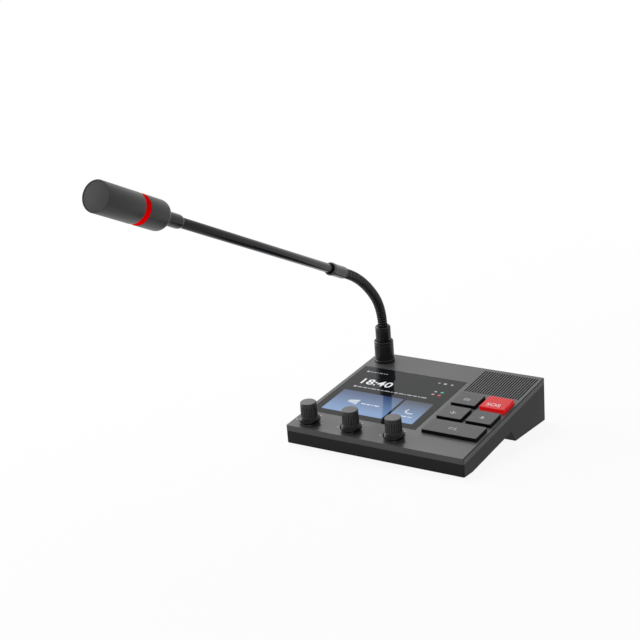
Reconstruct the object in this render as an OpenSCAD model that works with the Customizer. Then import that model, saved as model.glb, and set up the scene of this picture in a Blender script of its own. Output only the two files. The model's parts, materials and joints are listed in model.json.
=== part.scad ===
// Desk paging microphone: a sloped console with a display, keys and knobs, and a gooseneck microphone.
// The console stands on z = 0. The origin is the middle of the rear foot pad's underside.
// Slope frame: x to the right, v up the slope from the front edge of the top face, n out of that face.

/* [Console] */
// Tilt of the top face to the desk
tilt = 8.25; // [6:0.25:11]
// Height of the front edge, square to the top face
front_h = 13.8; // [13.4:0.1:15]
// Thickness of the slab between the front rest and the rear foot
slab_t = 15.7; // [15.5:0.1:18]
// Where the rear foot starts under the slab, up the slope
foot_v = 77.8; // [72:0.1:84]
// Run of the rear foot's slanted front face
foot_slant = 6.1; // [4:0.1:9]
// Height of the top cover's sides
cover_h = 4.4; // [4:0.1:5]
// Width of the step along the top cover's left and right edges
step_w = 0.5; // [0.3:0.05:0.8]
// Depth of that step
step_drop = 0.5; // [0.3:0.05:0.8]
// Corner radius of the housing
corner_r = 1.2; // [0.8:0.1:2]
// Wall of the housing
wall = 2; // [1.8:0.1:2.2]
// Floor of the housing
floor_t = 2; // [1.8:0.1:2.4]
// Thickness of the top cover's plate
plate_t = 2.4; // [2.2:0.1:2.8]

/* [Foot pads] */
// Length of a pad
pad_len = 104; // [80:1:115]
// Width of a pad
pad_w = 9; // [7:0.5:11]
// How far a pad stands out of the floor
pad_proud = 1; // [0.6:0.1:1.6]
// How deep a pad is let into the floor
pad_sink = 0.9; // [0.6:0.1:1.2]
// Middle of the front pad, from the front edge
front_pad_y = 7.4; // [6.8:0.1:8]
// Middle of the rear pad, from the front edge
rear_pad_y = 115; // [105:0.5:125]

/* [Display] */
// Width of the front glass
glass_w = 85.5; // [76:0.5:95]
// Length of the front glass up the slope
glass_d = 84.2; // [76:0.1:92]
// Thickness of the front glass
glass_t = 1.8; // [1.5:0.1:2]
// Margin from the left edge to the glass
glass_margin = 3.6; // [3.2:0.1:6]
// Ledge that carries the glass
glass_ledge = 2.6; // [2:0.1:4]
// Thickness of the display module under the glass
display_t = 4; // [3:0.1:5]

/* [Keys] */
// Width of a key
key_w = 19; // [17:0.1:21]
// Length of a key up the slope
key_d = 18.6; // [17:0.1:20.5]
// Gap between keys side by side
key_gap_x = 3.4; // [3:0.1:5]
// Gap between keys up the slope
key_gap_v = 4.5; // [3.6:0.1:6]
// Front edge of the front key, up the slope
keys_front = 25.4; // [25:0.1:31]
// Margin from the keys to the right edge
keys_right = 2.85; // [2.7:0.05:5]
// Gap from the glass to the keys
keys_glass_gap = 5.3; // [5.2:0.1:8]
// How far a key stands out
key_h = 2.6; // [2.3:0.1:3.2]
// How far the red key stands out
red_key_h = 3.2; // [2.6:0.1:4]
// Travel of a key
key_travel = 1.5; // [1:0.1:1.8]

/* [Speaker grille] */
// Number of slots
slot_n = 22; // [14:1:26]
// Width of a slot
slot_w = 1; // [0.7:0.05:1.2]
// Length of a slot
slot_len = 38; // [37.4:0.1:44]
// Gap from the rear keys to the slots
slot_gap = 6.6; // [6.4:0.1:9]
// Margin from the slots to the rear edge
slot_rear = 4; // [3.4:0.1:6]
// Diameter of the speaker
speaker_d = 36; // [28:0.5:36]

/* [Knobs] */
// Height of a knob
knob_h = 15.2; // [14:0.1:20]
// Diameter of a knob's fluted body
knob_d = 11.6; // [11:0.1:13]
// Diameter of a knob's skirt
skirt_d = 15.6; // [15:0.1:18]
// Height of the rounded skirt
skirt_h = 4.2; // [3.6:0.1:5]
// Number of flutes round a knob
flute_n = 20; // [14:1:26]
// Middle of the first knob, from the left edge
knob_left = 13.9; // [13:0.1:18]
// Pitch of the knobs
knob_pitch = 33.8; // [24:0.1:36]
// Middle of the knobs, up the slope
knob_v = 10.2; // [9.8:0.1:12]
// Diameter of a control shaft
shaft_d = 6; // [5:0.1:6.2]

/* [Gooseneck] */
// Middle of the gooseneck from the left edge
neck_left = 11.9; // [11.6:0.1:18]
// Middle of the gooseneck from the rear edge
neck_rear = 12.6; // [12:0.1:18]
// Diameter of the lower collar
collar_d = 14.8; // [14:0.1:17]
// Diameter of the flange under the lower collar
flange_d = 15.6; // [15.2:0.1:18]
// Height of the lower collar
collar_h = 17.1; // [14:0.1:22]
// Diameter of the upper collar
sleeve_d = 11.8; // [11:0.1:13]
// Height of the upper collar
sleeve_h = 11.9; // [10:0.1:16]
// Diameter of the flexible tube over its ribs
flex_d = 7.35; // [6.6:0.05:7.6]
// Depth of the ribs
rib_h = 0.42; // [0.2:0.02:0.6]
// Pitch of the ribs
rib_pitch = 1.55; // [1.3:0.05:2.2]
// Bore of the flexible tube
flex_bore = 4.4; // [3:0.1:4.8]
// Radius of the lower bend
bend_r1 = 44; // [36:0.5:70]
// Angle of the lower bend
bend_a1 = 37.5; // [25:0.5:45]
// Radius of the upper bend
bend_r2 = 113; // [80:1:160]
// Rise of the straight arm above the top face
arm_rise = 27.7; // [20:0.1:40]
// Straight run of the flexible tube before the ferrule
neck_tail = 7.2; // [3:0.1:12]
// Depth of the flexible tube in its sockets
socket_depth = 8; // [7.7:0.1:9]

/* [Arm and microphone] */
// Diameter of the ferrule at the foot of the arm
ferrule_d = 9; // [8.7:0.1:10.5]
// Length of the ferrule
ferrule_len = 19.8; // [18.6:0.1:28]
// Diameter of the arm tube
arm_d = 6.7; // [6:0.1:7]
// Wall of the arm tube
arm_wall = 1; // [0.6:0.05:1.2]
// Free length of the arm tube
arm_len = 185.4; // [120:0.1:220]
// Diameter of the adaptor behind the head
adaptor_d = 9; // [8.6:0.1:11]
// Length of the adaptor
adaptor_len = 18.6; // [16:0.1:26]
// Diameter of the head
head_d = 19; // [17.5:0.1:22]
// Wall of the head's shells
head_wall = 1.5; // [1.2:0.05:1.8]
// Length of the rear shell
head_rear_len = 22.3; // [20:0.1:30]
// Radius of the rear shell's round edge
head_round = 5; // [3:0.1:5]
// How far the light ring lies below the head's surface
ring_recess = 0.15; // [0:0.05:0.6]
// Width of the light ring
ring_w = 4.8; // [3:0.1:6]
// Length of the front sleeve
head_front_len = 34.2; // [30:0.1:45]

/* [Rear sockets] */
// Middle of the network socket from the middle of the console
lan_x = -8; // [-9:0.1:-7]
// Middle of the power socket from the middle of the console
power_x = -28; // [-29:0.1:-26]
// Middle of the audio socket from the middle of the console
audio_x = 9; // [8:0.1:10]
// Hole of the audio socket
audio_hole_d = 3.6; // [3.55:0.01:3.7]
// Hole of the power socket
power_hole_d = 6; // [5.6:0.1:6.2]

/* [Hidden] */
$fn = 64;

// Clearances
fit = 0.05;          // turned pieces that seat in each other
key_clear = 0.3;     // round a key in its opening
glass_clear = 0.15;  // round the glass in its recess
hang_gap = 0.1;      // under the plate, above a key's flange
socket_clear = 0.2;  // round a socket in the rear wall
far = 200;           // longer than any cut

// Plan of the top face, worked out from what it holds
keys_w = 2 * key_w + key_gap_x;
top_w = glass_margin + glass_w + keys_glass_gap + keys_w + keys_right;
glass_gap = 8.8;
glass_v = knob_v + skirt_d / 2 + glass_gap;
neck_gap = 7.4;
keys_column = keys_front + 3 * key_d + 2 * key_gap_v + slot_gap + slot_len + slot_rear;
neck_column = glass_v + glass_d + neck_gap + flange_d / 2 + neck_rear;
top_d = max(keys_column, neck_column);
left_x = -top_w / 2;
right_x = top_w / 2;
glass_x = left_x + glass_margin;
keys_x = right_x - keys_right - keys_w;
row_v = [for (i = [0:2]) keys_front + i * (key_d + key_gap_v)];
slot_v = top_d - slot_rear - slot_len;
slot_edge = 3.45;
slot_overhang = 0.9;
slots_x = keys_x - slot_overhang;
slot_pitch = (right_x - slot_edge - slots_x) / (slot_n - 1);
knob_x = [for (i = [0:2]) left_x + knob_left + i * knob_pitch];
neck_x = left_x + neck_left;
neck_v = top_d - neck_rear;

// Side of the console: the desk's plane meets the slab's underside behind the front rest
function rest_n(v) = -front_h - v * tan(tilt);
rest_v = (slab_t - front_h) / tan(tilt);
function under_n(v) = v < foot_v ? max(rest_n(v), -slab_t) : rest_n(v);
slope_y = -rear_pad_y - front_h * sin(tilt);
slope_z = pad_proud + front_h * cos(tilt);
inner_x = right_x - wall;
inner_rear = top_d - wall;
lip_t = 1.2;
lip_h = 2;
lip_gap = 0.15;

// Screws, bosses and boards
boss_d = 6.4;
screw_d = 3;
screw_head_d = 5.6;
screw_head_h = 2;
screw_grip = 5;
boss_wall_gap = 0.7;
front_joint = -8;
rear_joint = -14;
rear_screw_v = top_d - 6.7;
front_left_v = 20.6;
front_right_v = 8;
side_screw_x = inner_x - boss_wall_gap - boss_d / 2;
rear_screw_x = [-42, 20.5];
screws = [[-side_screw_x, front_left_v, front_joint], [side_screw_x, front_right_v, front_joint],
    [rear_screw_x[0], rear_screw_v, rear_joint], [rear_screw_x[1], rear_screw_v, rear_joint]];
seat_t = 1;
board_t = 1.6;
small_screw_d = 2;
small_head_d = 3.6;
small_head_h = 1.3;
post_d = 4.6;

// Key mechanism
key_skin = 1.6;
key_flange = 1.1;
key_flange_t = 1;
key_stem_d = 3;
switch_w = 6.2;
switch_h = 3.4;
stem_in = 0.3;
stem_gap = 0.2;
flange_n = -plate_t - hang_gap;
key_board_n = flange_n - key_flange_t - 5;
switch_n = key_board_n + switch_h;
key_posts = [for (v = [keys_front - key_flange - 0.4 - post_d / 2,
        row_v[2] + key_d + key_flange + 0.4 + post_d / 2])
    for (x = [keys_x + 5, keys_x + keys_w - 5]) [x, v]];

// Controls under the knobs
nut_w = 10;
nut_h = 2;
bushing_d = shaft_d + 1.6;
bushing_h = 4.4;
bushing_clear = 0.2;
control_w = 10;
control_h = 6.5;
control_n = -plate_t - control_h;
knob_gap = 0.8;
shaft_top = knob_gap + knob_h - 2.6;

// Main board and sockets
main_n = -19;
main_front = foot_v + foot_slant + 8;
main_margin = 3;
main_posts = [for (x = [-inner_x + 8, inner_x - 8]) for (v = [main_front + 5, top_d - 12]) [x, v]];
main_post_d = 5.5;
lan_size = [16, 21, 13.4];
lan_hole = [12, 13, 8.6];
lan_hole_n = 2;
power_size = [9, 14.2, 11];
power_hole_len = 10;
power_pin_d = 2;
audio_size = [7, 14.5, 7];
audio_hole_len = 12.5;

// Gooseneck path: straight out of the upper collar, two bends, straight into the ferrule
stem_d = 10;
stem_len = 9;
neck_bore = 5;
spigot_d = 9.2;
spigot_len = 8;
neck_nut_w = 14;
neck_nut_h = 3.5;
flex_clear = 0.12;
flex_n = collar_h + sleeve_h;
bend_a2 = 90 - bend_a1 - arm_rise;
bend_l1 = bend_r1 * bend_a1 * PI / 180;
bend_l2 = bend_r2 * bend_a2 * PI / 180;
bends = bend_l1 + bend_l2;
flex_len = bends + neck_tail;
ribs = floor((flex_len + 2 * socket_depth) / rib_pitch);
flex_sides = 8;
ribs_per_bore_ring = 4;
function heading(s) = s < 0 ? 90
    : s < bend_l1 ? 90 - s / bend_r1 * 180 / PI
    : s < bends ? 90 - bend_a1 - (s - bend_l1) / bend_r2 * 180 / PI : arm_rise;
function bend1(a) = [neck_v - bend_r1 * (1 - cos(a)), flex_n + bend_r1 * sin(a)];
function bend2(a) = let (h = 90 - bend_a1)
    bend1(bend_a1) + bend_r2 * [sin(h - a) - sin(h), cos(h - a) - cos(h)];
function neck_point(s) = s < 0 ? [neck_v, flex_n + s]
    : s < bend_l1 ? bend1(s / bend_r1 * 180 / PI)
    : s < bends ? bend2((s - bend_l1) / bend_r2 * 180 / PI)
    : bend2(bend_a2) + (s - bends) * [-cos(arm_rise), sin(arm_rise)];
arm_foot = neck_point(flex_len);

// Stations along the arm, from the mouth of the ferrule
tube_in = 10;
ferrule_rim = 2.4;
ferrule_rim_t = 0.3;
ferrule_dish = 1.8;
tube_start = ferrule_len - tube_in;
adaptor_a = ferrule_len + arm_len;
tube_end = adaptor_a + 12;
adaptor_cone = 3.5;
head_a = adaptor_a + adaptor_len;
head_spigot_d = 7;
head_spigot_len = 6;
rear_wall = 3;
ring_a = head_a + head_rear_len;
sleeve_a = ring_a + ring_w;
front_a = sleeve_a + head_front_len;
head_bore = head_d - 2 * head_wall;
ring_spigot = 3;
ring_spigot_wall = 1.4;
led_board_t = 1.2;
mesh_t = 0.6;
mesh_sink = 0.2;
mesh_step = 0.75;
foam_len = 4.6;
capsule_d = 9.7;
capsule_len = 5;
holder_len = 6;

module slope() {
    translate([0, slope_y, slope_z]) rotate([tilt, 0, 0]) children();
}

// Stands the arm's own axis along +Z, with z = 0 at the mouth of the ferrule
module arm() {
    slope() translate([neck_x, arm_foot[0], arm_foot[1]]) rotate([90 - arm_rise, 0, 0]) children();
}

// A plan rectangle with round corners
module plan(x0, x1, v0, v1, r) {
    translate([x0 + r, v0]) square([x1 - x0 - 2 * r, v1 - v0]);
    translate([x0, v0 + r]) square([x1 - x0, v1 - v0 - 2 * r]);
    for (x = [x0 + r, x1 - r]) for (v = [v0 + r, v1 - r]) translate([x, v]) circle(r);
}

// Extrudes a side outline, drawn in v and n, across the console
module across(w) {
    translate([-w / 2, 0, 0]) rotate([90, 0, 90]) linear_extrude(w) children();
}

module box(x, v, n, size) {
    translate([x, v, n]) cube(size);
}

module post(x, v, n0, n1, d) {
    translate([x, v, n0]) cylinder(d = d, h = n1 - n0);
}

// A tube or stepped ring, turned about the vertical, from z0 to z1
module ring(z0, z1, outer, inner) {
    translate([0, 0, z0]) difference() {
        cylinder(d = outer, h = z1 - z0);
        translate([0, 0, -1]) cylinder(d = inner, h = z1 - z0 + 2);
    }
}

module bore(z0, z1, d) {
    translate([0, 0, z0]) cylinder(d = d, h = z1 - z0);
}

// Long foot pad with round ends, standing on z = 0
module pad(y, grow) {
    for (x = [-1, 1]) translate([x * (pad_len - pad_w) / 2, y, 0])
        cylinder(d = pad_w + 2 * grow, h = pad_proud + pad_sink);
    translate([-(pad_len - pad_w) / 2, y - pad_w / 2 - grow, 0])
        cube([pad_len - pad_w, pad_w + 2 * grow, pad_proud + pad_sink]);
}

module foot_pads() {
    color("dimgray") {
        pad(front_pad_y - rear_pad_y, 0);
        pad(0, 0);
    }
}

module housing_side() {
    polygon([[0, -cover_h], [0, -front_h], [rest_v, -slab_t], [foot_v, -slab_t],
        [foot_v + foot_slant, rest_n(foot_v + foot_slant)], [top_d, rest_n(top_d)], [top_d, -cover_h]]);
}

module housing_room() {
    foot_end = foot_v + foot_slant + wall;
    polygon([[wall, 1], [wall, -front_h + floor_t], [rest_v, -slab_t + floor_t],
        [foot_v + wall, -slab_t + floor_t], [foot_end, rest_n(foot_end) + floor_t],
        [inner_rear, rest_n(inner_rear) + floor_t], [inner_rear, 1]]);
}

module housing_plan(inset) {
    plan(left_x + inset, right_x - inset, inset, top_d - inset, max(corner_r - inset, 0.4));
}

module rear_cutouts() {
    for (s = [[lan_x, lan_size], [power_x, power_size], [audio_x, audio_size]])
        box(s[0] - s[1][0] / 2 - socket_clear, inner_rear - 1, main_n - socket_clear,
            [s[1][0] + 2 * socket_clear, wall + 2, s[1][2] + 2 * socket_clear]);
}

// Seat of a housing screw's head inside its counterbore
function seat_n(s) = under_n(s[1]) + floor_t + seat_t;

module lower_housing() {
    color([0.13, 0.13, 0.135]) difference() {
        slope() difference() {
            union() {
                difference() {
                    intersection() {
                        across(top_w) housing_side();
                        translate([0, 0, -far / 2]) linear_extrude(far / 2) housing_plan(0);
                    }
                    intersection() {
                        across(2 * inner_x) housing_room();
                        translate([0, 0, -far / 2]) linear_extrude(far / 2 + 2) housing_plan(wall);
                    }
                }
                for (s = screws) post(s[0], s[1], under_n(s[1]) + 1, s[2], boss_d);
                for (p = main_posts) post(p[0], p[1], rest_n(p[1]) + 1, main_n - board_t, main_post_d);
            }
            for (s = screws) {
                post(s[0], s[1], -far, seat_n(s), screw_head_d + 0.6);
                post(s[0], s[1], seat_n(s) - 1, s[2] + 1, screw_d + 0.3);
            }
            for (p = main_posts) post(p[0], p[1], main_n - board_t - 5, main_n, small_screw_d + 2 * fit);
            rear_cutouts();
        }
        pad(front_pad_y - rear_pad_y, fit);
        pad(0, fit);
    }
}

// Cuts the narrow steps along the left and right edges of the top face
module side_steps() {
    for (x = [left_x + step_w - far, right_x - step_w])
        box(x, -far / 2, -step_drop, [far, 2 * far, far]);
}

// A key's plan: x, v and width
wide_key = [keys_x, row_v[0], keys_w];
left_key = [keys_x, row_v[1], key_w];
right_key = [keys_x + key_w + key_gap_x, row_v[1], key_w];
upper_key = [keys_x, row_v[2], key_w];
red_key = [keys_x + key_w + key_gap_x, row_v[2], key_w];
all_keys = [wide_key, left_key, right_key, upper_key, red_key];

// Middles of the switches under a key: two under the wide one
function key_middles(k) = k[2] > 1.5 * key_w
    ? [for (x = [k[0] + key_w / 2, k[0] + k[2] - key_w / 2]) [x, k[1] + key_d / 2]]
    : [[k[0] + k[2] / 2, k[1] + key_d / 2]];

module top_cover() {
    window = [glass_w - 2 * glass_ledge, glass_d - 2 * glass_ledge, far];
    color([0.36, 0.36, 0.37]) slope() difference() {
        union() {
            difference() {
                translate([0, 0, -cover_h]) linear_extrude(cover_h) housing_plan(0);
                side_steps();
                translate([0, 0, -plate_t - far]) linear_extrude(far) housing_plan(wall);
            }
            translate([0, 0, -cover_h - lip_h]) linear_extrude(lip_h + cover_h - plate_t + 0.1)
                difference() {
                    housing_plan(wall + lip_gap);
                    plan(-inner_x + lip_gap + lip_t, inner_x - lip_gap - lip_t,
                        wall + lip_gap + lip_t, top_d, 0.4);
                    translate([keys_x, keys_front - 4]) square(far);
                }
            for (s = screws) post(s[0], s[1], s[2], -plate_t + 0.1, boss_d);
            for (p = key_posts) post(p[0], p[1], key_board_n, -plate_t + 0.1, post_d);
        }
        box(glass_x - glass_clear, glass_v - glass_clear, -glass_t,
            [glass_w + 2 * glass_clear, glass_d + 2 * glass_clear, far]);
        box(glass_x + glass_ledge, glass_v + glass_ledge, -far / 2, window);
        for (k = all_keys) box(k[0] - key_clear, k[1] - key_clear, -plate_t - 1,
            [k[2] + 2 * key_clear, key_d + 2 * key_clear, far]);
        for (i = [0:slot_n - 1]) box(slots_x + i * slot_pitch - slot_w / 2, slot_v, -plate_t - 1,
            [slot_w, slot_len, far]);
        for (x = knob_x) post(x, knob_v, -far, 1, bushing_d + 2 * bushing_clear);
        post(neck_x, neck_v, -far, 1, stem_d + 2 * bushing_clear);
        for (s = screws) post(s[0], s[1], s[2] - 1, s[2] + screw_grip + 0.5, screw_d + 2 * fit);
        for (p = key_posts) post(p[0], p[1], key_board_n - 1, key_board_n + 4, small_screw_d + 2 * fit);
    }
}

module housing_screws() {
    color("silver") slope() for (s = screws) {
        post(s[0], s[1], seat_n(s) - screw_head_h, seat_n(s), screw_head_d);
        post(s[0], s[1], seat_n(s) - 0.1, s[2] + screw_grip, screw_d);
    }
}

module board_screw(p, n, up) {
    post(p[0], p[1], min(n, n - up * small_head_h), max(n, n - up * small_head_h), small_head_d);
    post(p[0], p[1], min(n - up * 0.1, n + up * 4.5), max(n - up * 0.1, n + up * 4.5), small_screw_d);
}

module board_screws() {
    color("gainsboro") slope() {
        for (p = key_posts) board_screw(p, key_board_n - board_t, 1);
        for (p = main_posts) board_screw(p, main_n, -1);
    }
}

module screen_glass() {
    color([0.05, 0.06, 0.09]) slope() translate([0, 0, -glass_t]) linear_extrude(glass_t)
        plan(glass_x, glass_x + glass_w, glass_v, glass_v + glass_d, 0.8);
}

module display_panel() {
    side = glass_ledge + 0.8;
    color([0.2, 0.3, 0.5]) slope() box(glass_x + side, glass_v + side, -glass_t - display_t,
        [glass_w - 2 * side, glass_d - 2 * side, display_t]);
}

cloth_t = 0.4;
cloth_edge = 0.6;
speaker_x = slots_x + (slot_n - 1) * slot_pitch / 2;
speaker_v = slot_v + slot_len / 2;
speaker_n = -plate_t - cloth_t;
basket_h = 8;
basket_d = 22;
magnet_h = 5.5;
magnet_d = 20;

module grille_cloth() {
    color([0.05, 0.05, 0.05]) slope() box(slots_x - cloth_edge, slot_v - 0.3, speaker_n,
        [(slot_n - 1) * slot_pitch + 2 * cloth_edge, slot_len + 0.6, cloth_t]);
}

module speaker_frame() {
    rim = 1.2;
    color("gray") slope() translate([speaker_x, speaker_v, speaker_n]) rotate_extrude()
        polygon([[speaker_d / 2 - 3, 0], [speaker_d / 2, 0], [speaker_d / 2, -rim],
            [speaker_d / 2 - 2, -rim], [basket_d / 2, -basket_h], [5, -basket_h], [5, -basket_h + rim],
            [basket_d / 2 - 1, -basket_h + rim], [speaker_d / 2 - 3, -rim]]);
}

module speaker_cone() {
    edge = speaker_d / 2 - 3.2;
    color([0.1, 0.1, 0.1]) slope() translate([speaker_x, speaker_v, speaker_n]) rotate_extrude()
        polygon([[0, -3.4], [5, -4.2], [edge, -0.6], [edge, -1.1], [4.8, -4.9], [4.8, -basket_h],
            [0, -basket_h]]);
}

module speaker_magnet() {
    color("dimgray") slope() translate([speaker_x, speaker_v, speaker_n - basket_h - magnet_h])
        cylinder(d = magnet_d, h = magnet_h);
}

module main_board() {
    color("darkgreen") slope() difference() {
        box(-inner_x + main_margin, main_front, main_n - board_t,
            [2 * inner_x - 2 * main_margin, inner_rear - 0.8 - main_front, board_t]);
        for (s = screws) post(s[0], s[1], -far, far, boss_d + 2);
        for (p = main_posts) post(p[0], p[1], -far, far, small_screw_d + 0.4);
    }
}

module lan_socket() {
    color("silver") slope() difference() {
        box(lan_x - lan_size[0] / 2, top_d - lan_size[1], main_n, lan_size);
        box(lan_x - lan_hole[0] / 2, top_d - lan_hole[1], main_n + lan_hole_n,
            [lan_hole[0], lan_hole[1] + 1, lan_hole[2]]);
        box(lan_x - lan_hole[0] / 4, top_d - lan_hole[1] / 2, main_n + lan_hole_n + lan_hole[2] - 1,
            [lan_hole[0] / 2, lan_hole[1], 2.2]);
    }
}

module power_socket() {
    mid = main_n + power_size[2] / 2;
    color([0.08, 0.08, 0.08]) slope() {
        difference() {
            box(power_x - power_size[0] / 2, top_d - power_size[1], main_n, power_size);
            translate([power_x, top_d + 1, mid]) rotate([90, 0, 0])
                cylinder(d = power_hole_d, h = power_hole_len + 1);
        }
        translate([power_x, top_d - 1, mid]) rotate([90, 0, 0])
            cylinder(d = power_pin_d, h = power_hole_len);
    }
}

module audio_socket() {
    mid = main_n + audio_size[2] / 2;
    color([0.1, 0.1, 0.1]) slope() difference() {
        box(audio_x - audio_size[0] / 2, top_d - audio_size[1], main_n, audio_size);
        translate([audio_x, top_d + 1, mid]) rotate([90, 0, 0])
            cylinder(d = audio_hole_d, h = audio_hole_len + 1);
    }
}

module key_board() {
    x0 = keys_x + 5 - post_d / 2;
    edge_v = [key_posts[0][1] - post_d / 2, key_posts[3][1] + post_d / 2];
    color("darkgreen") slope() difference() {
        box(x0, edge_v[0], key_board_n - board_t,
            [keys_w - 10 + post_d, edge_v[1] - edge_v[0], board_t]);
        for (p = key_posts) post(p[0], p[1], -far, far, small_screw_d + 0.4);
    }
}

module key_switches() {
    color([0.15, 0.15, 0.15]) slope() for (k = all_keys) for (m = key_middles(k)) difference() {
        box(m[0] - switch_w / 2, m[1] - switch_w / 2, key_board_n, [switch_w, switch_w, switch_h]);
        post(m[0], m[1], switch_n - stem_in - key_travel - 0.3, switch_n + 1, key_stem_d + 2 * stem_gap);
    }
}

// A moulded key: cap with round upright corners, flanges under the plate at its front and rear edges,
// hollow inside, with a stem to its switch
module key(k, h) {
    slope() {
        difference() {
            union() {
                translate([0, 0, flange_n - 0.1]) linear_extrude(h - flange_n + 0.1)
                    plan(k[0], k[0] + k[2], k[1], k[1] + key_d, 0.8);
                box(k[0], k[1] - key_flange, flange_n - key_flange_t,
                    [k[2], key_d + 2 * key_flange, key_flange_t]);
            }
            box(k[0] + key_skin, k[1] + key_skin, flange_n - key_flange_t - 1,
                [k[2] - 2 * key_skin, key_d - 2 * key_skin, h - flange_n + key_flange_t + 1 - key_skin]);
        }
        for (m = key_middles(k)) post(m[0], m[1], switch_n - stem_in, h - key_skin + 0.1, key_stem_d);
    }
}

module key_wide() { color([0.3, 0.3, 0.31]) key(wide_key, key_h); }
module key_left() { color([0.3, 0.3, 0.31]) key(left_key, key_h); }
module key_right() { color([0.3, 0.3, 0.31]) key(right_key, key_h); }
module key_upper() { color([0.3, 0.3, 0.31]) key(upper_key, key_h); }
module key_red() { color([0.8, 0.05, 0.05]) key(red_key, red_key_h); }

// A fluted knob with a round-edged skirt, recessed under for the fixing nut
module knob(i) {
    flute_r = 0.42;
    flute_top = knob_h - 2.6;
    round_r = skirt_h / 2;
    nut_room = nut_w / cos(30) + 1;
    color([0.1, 0.1, 0.1]) slope() translate([knob_x[i], knob_v, knob_gap]) difference() {
        union() {
            rotate_extrude() {
                translate([skirt_d / 2 - round_r, round_r]) circle(round_r);
                square([skirt_d / 2 - round_r, skirt_h]);
            }
            cylinder(d1 = knob_d + 0.5, d2 = knob_d, h = knob_h - 0.5);
            translate([0, 0, knob_h - 0.5]) cylinder(d1 = knob_d, d2 = knob_d - 1, h = 0.5);
        }
        for (a = [0:flute_n - 1]) rotate([0, 0, a * 360 / flute_n])
            translate([knob_d / 2 + 0.25, 0, skirt_h]) cylinder(r = flute_r, h = flute_top - skirt_h);
        bore(-1, nut_h - knob_gap + 0.5, nut_room);
        bore(0, bushing_h - knob_gap + 0.3, bushing_d + 1);
        bore(0, shaft_top - knob_gap + 0.1, shaft_d + 2 * fit);
    }
}

module knob_shaft(i) {
    color("silver") slope() post(knob_x[i], knob_v, control_n + 1.5, shaft_top, shaft_d);
}

module knob_1() { knob(0); }
module knob_2() { knob(1); }
module knob_3() { knob(2); }
module knob_shaft_1() { knob_shaft(0); }
module knob_shaft_2() { knob_shaft(1); }
module knob_shaft_3() { knob_shaft(2); }

module control_bodies() {
    color("slategray") slope() for (x = knob_x) difference() {
        union() {
            box(x - control_w / 2, knob_v - control_w / 2, control_n, [control_w, control_w, control_h]);
            post(x, knob_v, -plate_t - 0.1, bushing_h, bushing_d);
        }
        post(x, knob_v, control_n + 1.4, bushing_h + 1, shaft_d + 2 * fit);
    }
}

module hex_nut(w, h, hole) {
    difference() {
        cylinder(d = w / cos(30), h = h, $fn = 6);
        translate([0, 0, -1]) cylinder(d = hole, h = h + 2);
    }
}

module control_nuts() {
    color("silver") slope() for (x = knob_x) translate([x, knob_v, 0])
        hex_nut(nut_w, nut_h, bushing_d + 2 * fit);
}

module control_board() {
    reach = control_w / 2 + 1;
    color("darkgreen") slope() box(knob_x[0] - reach, knob_v - reach, control_n - board_t,
        [knob_x[2] - knob_x[0] + 2 * reach, 2 * reach, board_t]);
}

module at_neck() {
    slope() translate([neck_x, neck_v, 0]) children();
}

module neck_base() {
    rim = 0.8;
    flange_h = 1.8;
    color([0.09, 0.09, 0.09]) at_neck() difference() {
        rotate_extrude() polygon([[0, -stem_len], [stem_d / 2, -stem_len], [stem_d / 2, 0],
            [flange_d / 2, 0], [flange_d / 2, flange_h - 0.4], [collar_d / 2, flange_h],
            [collar_d / 2, collar_h - rim], [collar_d / 2 - rim / 2, collar_h], [0, collar_h]]);
        bore(-stem_len - 1, collar_h + 1, neck_bore);
        bore(collar_h - spigot_len, collar_h + 1, spigot_d + 2 * fit);
    }
}

module neck_nut() {
    color("silver") at_neck() translate([0, 0, -plate_t - neck_nut_h])
        hex_nut(neck_nut_w, neck_nut_h, stem_d + 2 * fit);
}

module neck_sleeve() {
    rim = 0.9;
    color([0.1, 0.1, 0.1]) at_neck() difference() {
        rotate_extrude() polygon([[0, collar_h - spigot_len], [spigot_d / 2, collar_h - spigot_len],
            [spigot_d / 2, collar_h], [sleeve_d / 2, collar_h], [sleeve_d / 2, flex_n - rim],
            [sleeve_d / 2 - rim, flex_n], [0, flex_n]]);
        bore(collar_h - spigot_len - 1, flex_n, neck_bore);
        bore(flex_n - socket_depth, flex_n + 1, flex_d + 2 * flex_clear);
    }
}

// One ring of points square to the neck's path, s along the path from the upper collar
function path_ring(s, r) = let (p = neck_point(s), h = heading(s)) [for (k = [0:flex_sides - 1])
    let (a = 360 * k / flex_sides)
    [neck_x + r * cos(a), p[0] + r * sin(a) * sin(h), p[1] + r * sin(a) * cos(h)]];

// Triangles between ring i and ring i + 1 of a run of rings that starts at point number base
function band(base, i, flip) = [for (k = [0:flex_sides - 1]) let (j = (k + 1) % flex_sides,
        a = base + i * flex_sides + k, b = base + i * flex_sides + j, c = a + flex_sides, d = b + flex_sides)
    each flip ? [[a, b, c], [b, d, c]] : [[a, c, b], [b, c, d]]];

// Triangles of the flat ring between an outer ring of points and an inner one
function end_ring(outer, inner, flip) = [for (k = [0:flex_sides - 1]) let (j = (k + 1) % flex_sides)
    each flip ? [[outer + k, inner + k, outer + j], [outer + j, inner + k, inner + j]]
        : [[outer + k, outer + j, inner + k], [outer + j, inner + j, inner + k]]];

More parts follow.
